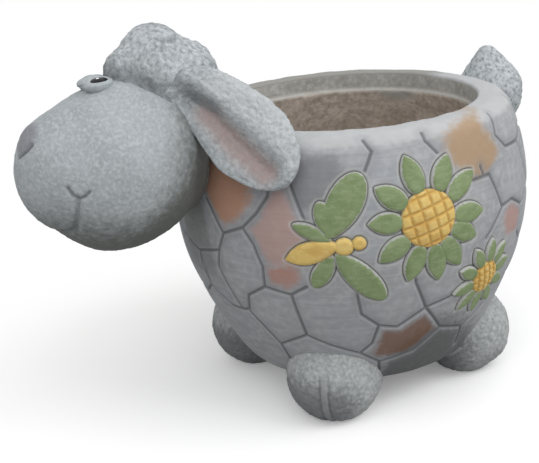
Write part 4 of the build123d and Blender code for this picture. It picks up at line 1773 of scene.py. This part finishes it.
@dataclass
class Studio:
    """Pale floor, soft light and the camera of the photograph."""

    eye: tuple[float, float, float] = (616.2 * MM, -372.0 * MM, 374.9 * MM)
    heading: float = 61.18
    pitch: float = -19.31
    roll: float = -4.93
    lens: float = 66.7
    sensor: float = 36.0
    floor_half: float = 12.0
    floor_colour: tuple[float, float, float] = (250, 250, 250)
    bounce_colour: tuple[float, float, float] = (170, 170, 170)
    glow: float = 0.17
    fade_from: float = 0.2
    fade_to: float = 0.42
    sky: float = 0.66
    key_power: float = 9.0
    fill_power: float = 12.5

    def floor(self) -> None:
        """Adds the floor: pale, white away from the object, and greyer in the light that it throws back."""
        deselect()
        bpy.ops.mesh.primitive_plane_add(size=2 * self.floor_half)
        obj = bpy.context.object
        obj.name = "studio_floor"
        material, nodes = new_material("floor_paper")
        ray = nodes.add("ShaderNodeLightPath").outputs
        seen = nodes.maths("MAXIMUM", ray["Is Camera Ray"], ray["Is Glossy Ray"])
        colour = nodes.mix(seen, tone(*self.bounce_colour), tone(*self.floor_colour))
        paper = nodes.add("ShaderNodeBsdfDiffuse", {"Color": colour})
        lift = nodes.maths("MULTIPLY", seen, self.glow)
        glow = nodes.add("ShaderNodeEmission", {"Color": (1, 1, 1, 1), "Strength": lift})
        near = nodes.add("ShaderNodeAddShader", {0: paper.outputs[0], 1: glow.outputs[0]})
        white = nodes.add("ShaderNodeEmission", {"Color": (1, 1, 1, 1), "Strength": 1.0})
        away = nodes.add("ShaderNodeVectorMath", {0: nodes.place()}, operation="LENGTH").outputs["Value"]
        share = nodes.maths("MULTIPLY", nodes.ramp(away, self.fade_from, self.fade_to), seen)
        shader = nodes.add("ShaderNodeMixShader", {0: share, 1: near.outputs[0], 2: white.outputs[0]})
        nodes.add("ShaderNodeOutputMaterial", {"Surface": shader.outputs[0]})
        obj.data.materials.append(material)

    def light(self) -> None:
        """Adds an even sky, a broad key light above and a weak fill."""
        world = bpy.data.worlds.new("studio_sky")
        bpy.context.scene.world = world
        world.use_nodes = True
        nodes = NodeSheet(world.node_tree)
        ray = nodes.add("ShaderNodeLightPath").outputs
        seen = nodes.maths("MAXIMUM", ray["Is Camera Ray"], ray["Is Glossy Ray"])
        strength = nodes.maths("MAXIMUM", seen, self.sky)
        sky = nodes.add("ShaderNodeBackground", {"Color": (1, 1, 1, 1), "Strength": strength})
        nodes.add("ShaderNodeOutputWorld", {"Surface": sky.outputs[0]})
        self.lamp("key", (0.85, -0.65, 1.4), 1.5, self.key_power)
        self.lamp("fill", (1.1, 0.9, 1.3), 1.2, self.fill_power)

    def lamp(self, name: str, place: tuple[float, float, float], size: float, power: float) -> None:
        """Adds a square area light that points at the object's middle."""
        data = bpy.data.lights.new(name, "AREA")
        data.size, data.energy = size, power
        obj = bpy.data.objects.new(name, data)
        bpy.context.scene.collection.objects.link(obj)
        obj.location = place
        aim = Vector((0, 0, 0.15)) - Vector(place)
        obj.rotation_euler = aim.to_track_quat("-Z", "Y").to_euler()

    def camera(self) -> None:
        """Adds the camera where the photograph was taken."""
        data = bpy.data.cameras.new("photo_camera")
        data.lens, data.sensor_width = self.lens, self.sensor
        data.clip_start, data.clip_end = 0.01, 100
        obj = bpy.data.objects.new("photo_camera", data)
        bpy.context.scene.collection.objects.link(obj)
        turn = (Matrix.Rotation(math.radians(self.heading), 4, "Z")
                @ Matrix.Rotation(math.radians(90 + self.pitch), 4, "X")
                @ Matrix.Rotation(math.radians(self.roll), 4, "Z"))
        obj.matrix_world = Matrix.Translation(self.eye) @ turn
        bpy.context.scene.camera = obj
        bpy.context.scene.view_settings.view_transform = "Standard"


class Palette:
    """All finishes of the planter."""

    def __init__(self, form: PotForm, paving_tints: tuple[PavingTint, ...]) -> None:
        """Makes the materials.

        Args:
            form: The bowl's form, for places on it.
            paving_tints: Colours laid over the paving: paint rubbed into stones, and painted shade and shadow.
        """
        self.paving = Cement(
            "paving_wash", (164, 165, 168), (146, 149, 152), (179, 180, 183), fine=190.0, broad=16.0, pores=0.25,
            bump=0.2 * MM,
            washes=(
                Wash((150, 158, 166), 0.35, (11.0, 11.0, 15.0)),
                Wash((186, 187, 192), 0.3),
                Wash((138, 141, 146), 0.22, (24.0, 24.0, 200.0)),
            ),
            traces=(
                # Paler along the rim on the left flank.
                Trace("rim", (196, 198, 199), 0.6, 0.9, 0.2, 0.9),
                # Paint rubbed into stones of the paving, and painted shade and shadow on the flanks.
                *(Trace(paving_tint.name, paving_tint.tint, paving_tint.strength, 0.85, 0.1, 0.7) for paving_tint in paving_tints),
                # Darker along the rim on the right flank.
                Trace("darkening", (150, 149, 144), 0.95, 0.6, 0.05, 0.3),
                Trace("joint", (126, 130, 136), 0.32, 0.5, 9.0, 2.5),
                # Painted highlight on the edges beside each joint.
                Trace("joint", (192, 193, 194), 0.2, 1.7, 3.4, 1.2),
                Trace("joint", (100, 101, 104), 0.75, 0.3, 1.8),
                # Painted highlight on the edges round each motif.
                Trace("outline", (198, 198, 196), 0.4, 1.8, 3.2, 1.0),
                Trace("outline", (92, 96, 88), 0.8, 0.4, 1.35),
            ),
        ).make()
        self.collar = Cement(
            "collar_cement", (170, 169, 165), (146, 144, 139), (188, 188, 184), fine=240.0,
            # Pale line at the ledge: painted highlight of a lit step.
            traces=(Trace("ledge", (196, 193, 186), 0.5, 0.4, 2.4, 4.0),),
        ).make()
        lump = tuple(Vector((0, form.axis_y, form.ledge_z)) + Vector((0.5, 0.87, 0)) * form.mouth_r)
        self.raw = Cement(
            "raw_cement", (200, 190, 180), (164, 153, 143), (216, 208, 199), fine=240.0, broad=30.0, pores=0.6,
            bump=1.0 * MM, dabs=(Dab(lump, (20 * MM, 20 * MM, 11 * MM), (166, 166, 162), 0.9),),
            # Pale line at the ledge: painted highlight of a lit step.
            traces=(Trace("ledge", (200, 193, 184), 0.5, 0.4, 3.0, 5.0),),
        ).make()
        self.face = Cement(
            "face_cement", (167, 173, 176), (149, 154, 157), (184, 189, 192), fine=450.0, pores=0.4, bump=0.6 * MM,
            traces=(
                # Painted shade under the head and at its back.
                Trace("under", (94, 96, 91), 0.88, 0.92, 0.22, 0.6),
                Trace("nose", (122, 118, 126), 0.6, 1.0, 0.1, 0.5),
                # Painted shade in the carved smile lines.
                Trace("bend", (112, 116, 118), 0.4, 0.4, 2.6),
                # Painted shade in the carved dimple and nose lines.
                Trace("mark", (98, 101, 104), 0.6, 0.4, 1.7),
            ),
        ).make()
        shaggy = {"tone": (176, 182, 185), "shade": (130, 135, 138), "bloom": (202, 207, 210)}
        self.tuft = Cement(
            "tuft_cement", **shaggy, fine=330.0, pores=0.8, bump=1.5 * MM,
            # Painted shade at the foot of the tuft.
            traces=(Trace("brim", (108, 113, 116), 0.6, 2.0, 16.0, 4.0),),
        ).make()
        self.ear = Cement(
            "ear_cement", (168, 174, 177), (138, 143, 146), (192, 197, 200), fine=380.0, pores=0.7, bump=1.0 * MM,
            traces=(
                Trace("dish", (172, 152, 148), 0.8, 1.0, 0.1, 0.7),
                # Painted highlight on the upper roll.
                Trace("roll", (200, 203, 205), 0.45, 1.0, 0.3, 0.9),
                # Painted shadow in the crease under the roll.
                Trace("crease", (104, 108, 111), 0.6, 1.0, 0.2, 0.5),
            ),
        ).make()
        self.lid = Cement("lid_cement", (172, 178, 181), (158, 164, 167), (184, 189, 192), fine=520.0, pores=0.3,
                          bump=0.25 * MM).make()
        self.tail = Cement("tail_cement", **shaggy, fine=350.0, pores=0.9, bump=1.4 * MM).make()
        self.foot = Cement(
            "foot_cement", (172, 175, 175), (142, 145, 146), (190, 193, 193), fine=380.0, pores=0.6, bump=0.9 * MM,
            traces=(
                # Painted shade on the lower front of the foot.
                Trace("darkening", (106, 109, 112), 0.75, 1.0, 0.1, 1.2),
                Trace("strip", (152, 154, 155), 0.6, 0.9, 0.3, 0.4),
                # Painted shade in the grooves beside the toe's strip.
                Trace("groove", (104, 107, 110), 0.4, 0.9, 0.3, 0.8),
            ),
        ).make()
        self.mortar = Cement("joint_mortar", (158, 163, 166), (134, 139, 142), (178, 182, 185), fine=420.0).make()
        self.green = Paint(
            "petal_paint", (131, 148, 107), (110, 128, 86), (158, 170, 138), (178, 179, 176), 1.4).make()
        self.yellow = Paint(
            "flower_paint", (218, 188, 112), (194, 152, 80), (232, 210, 148), (188, 174, 132), 0.6).make()
        self.pupil = Pupil("pupil_gloss", (26, 26, 30), (245, 245, 245)).make()
        self.steel = Steel("dowel_bar", (150, 150, 152), (110, 72, 52)).make()


def dress_hidden(palette: Palette) -> None:
    """Gives the mortar beds and the dowels that stay as CAD nodes their finishes."""
    for name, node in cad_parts.items():
        finish = palette.mortar if "mortar" in name else palette.steel if "dowel" in name else None
        if finish and "ear_mortar" not in name:
            for place in node.material_slots:
                place.material = finish
            LOG.info("%s stays as built, with %d slots dressed", name, len(node.material_slots))


def build_motif(motif: Motif, green: str, yellow: str, palette: Palette) -> None:
    """Builds a motif on the left flank and its mirror on the right.

    Args:
        motif: The motif.
        green: End of the name of the CAD nodes that its green part stands for.
        yellow: The same for its yellow part.
        palette: The finishes.
    """
    for node, build, slot, finish in ((green, motif.green, Slot.GREEN, palette.green),
                                      (yellow, motif.yellow, Slot.YELLOW, palette.yellow)):
        hand_over_pair(build(f"painted_{node}_left"), node, slot, finish)


def main() -> None:
    """Builds the planter's looks, piece by piece, and the studio."""
    form = PotForm()
    palette = Palette(form, PavedPot.paving_tints)
    sun = Flower(form, 78.7, 160 * MM, disc_r=19.6, petals=(
        (178, 41), (144, 42.5), (106, 44.5), (65, 43), (34, 45), (-4, 44), (-29, 42), (-58, 45), (-81, 46.5),
        (-110, 45), (-144, 43)))
    bud = Flower(form, 101.5, 104 * MM, disc_r=12.4, petals=tuple((12 + 36 * i, 29) for i in range(10)),
                 petal_half_w=5.2, square=5.0, cut_w=0.7, edge=1.8)
    fly = Dragonfly(form, 52.5, 148 * MM)
    pot = PavedPot(form, (sun, bud, fly)).build()
    hand_over(pot, "pot_shell", Slot.PAVING, palette.paving, palette.collar, palette.raw)
    build_motif(sun, "sunflower_petals", "sunflower_disc", palette)
    build_motif(bud, "small_sunflower_petals", "small_sunflower_disc", palette)
    build_motif(fly, "dragonfly_wings", "dragonfly_body", palette)
    head = SheepHead(form)
    hand_over(head.build(), "head", Slot.WOOL, palette.face)
    hand_over(WoolTuft(head).build(), "wool_cap", Slot.WOOL, palette.tuft)
    ear, eye = Ear(head), Eye(head)
    for part, node, slot, finish in ((ear.build(), "ear", Slot.WOOL, palette.ear),
                                     (ear.bed(), "ear_mortar", Slot.MORTAR, palette.mortar),
                                     (eye.pad(), "eye", Slot.WOOL, palette.lid),
                                     (eye.pupil(), "pupil", Slot.PUPIL, palette.pupil)):
        hand_over_pair(part, node, slot, finish)
    cutter = form.cutter()
    tail = Tail(form).build()
    subtract(tail, cutter)
    hand_over(tail, "tail", Slot.WOOL, palette.tail)
    foot = Foot(form)
    for end, way in (("front", -1), ("rear", 1)):
        for side in Side:
            piece = foot.build(f"foot_casting_{end}_{side.word}", side, way)
            subtract(piece, cutter)
            hand_over(piece, f"{end}_{side.word}_foot", Slot.ROUGH, palette.foot)
    bpy.data.objects.remove(cutter)
    dress_hidden(palette)
    studio = Studio()
    studio.floor()
    studio.light()
    studio.camera()


if __name__ == "__main__":
    logging.basicConfig(level=logging.INFO, format="%(message)s")
    main()
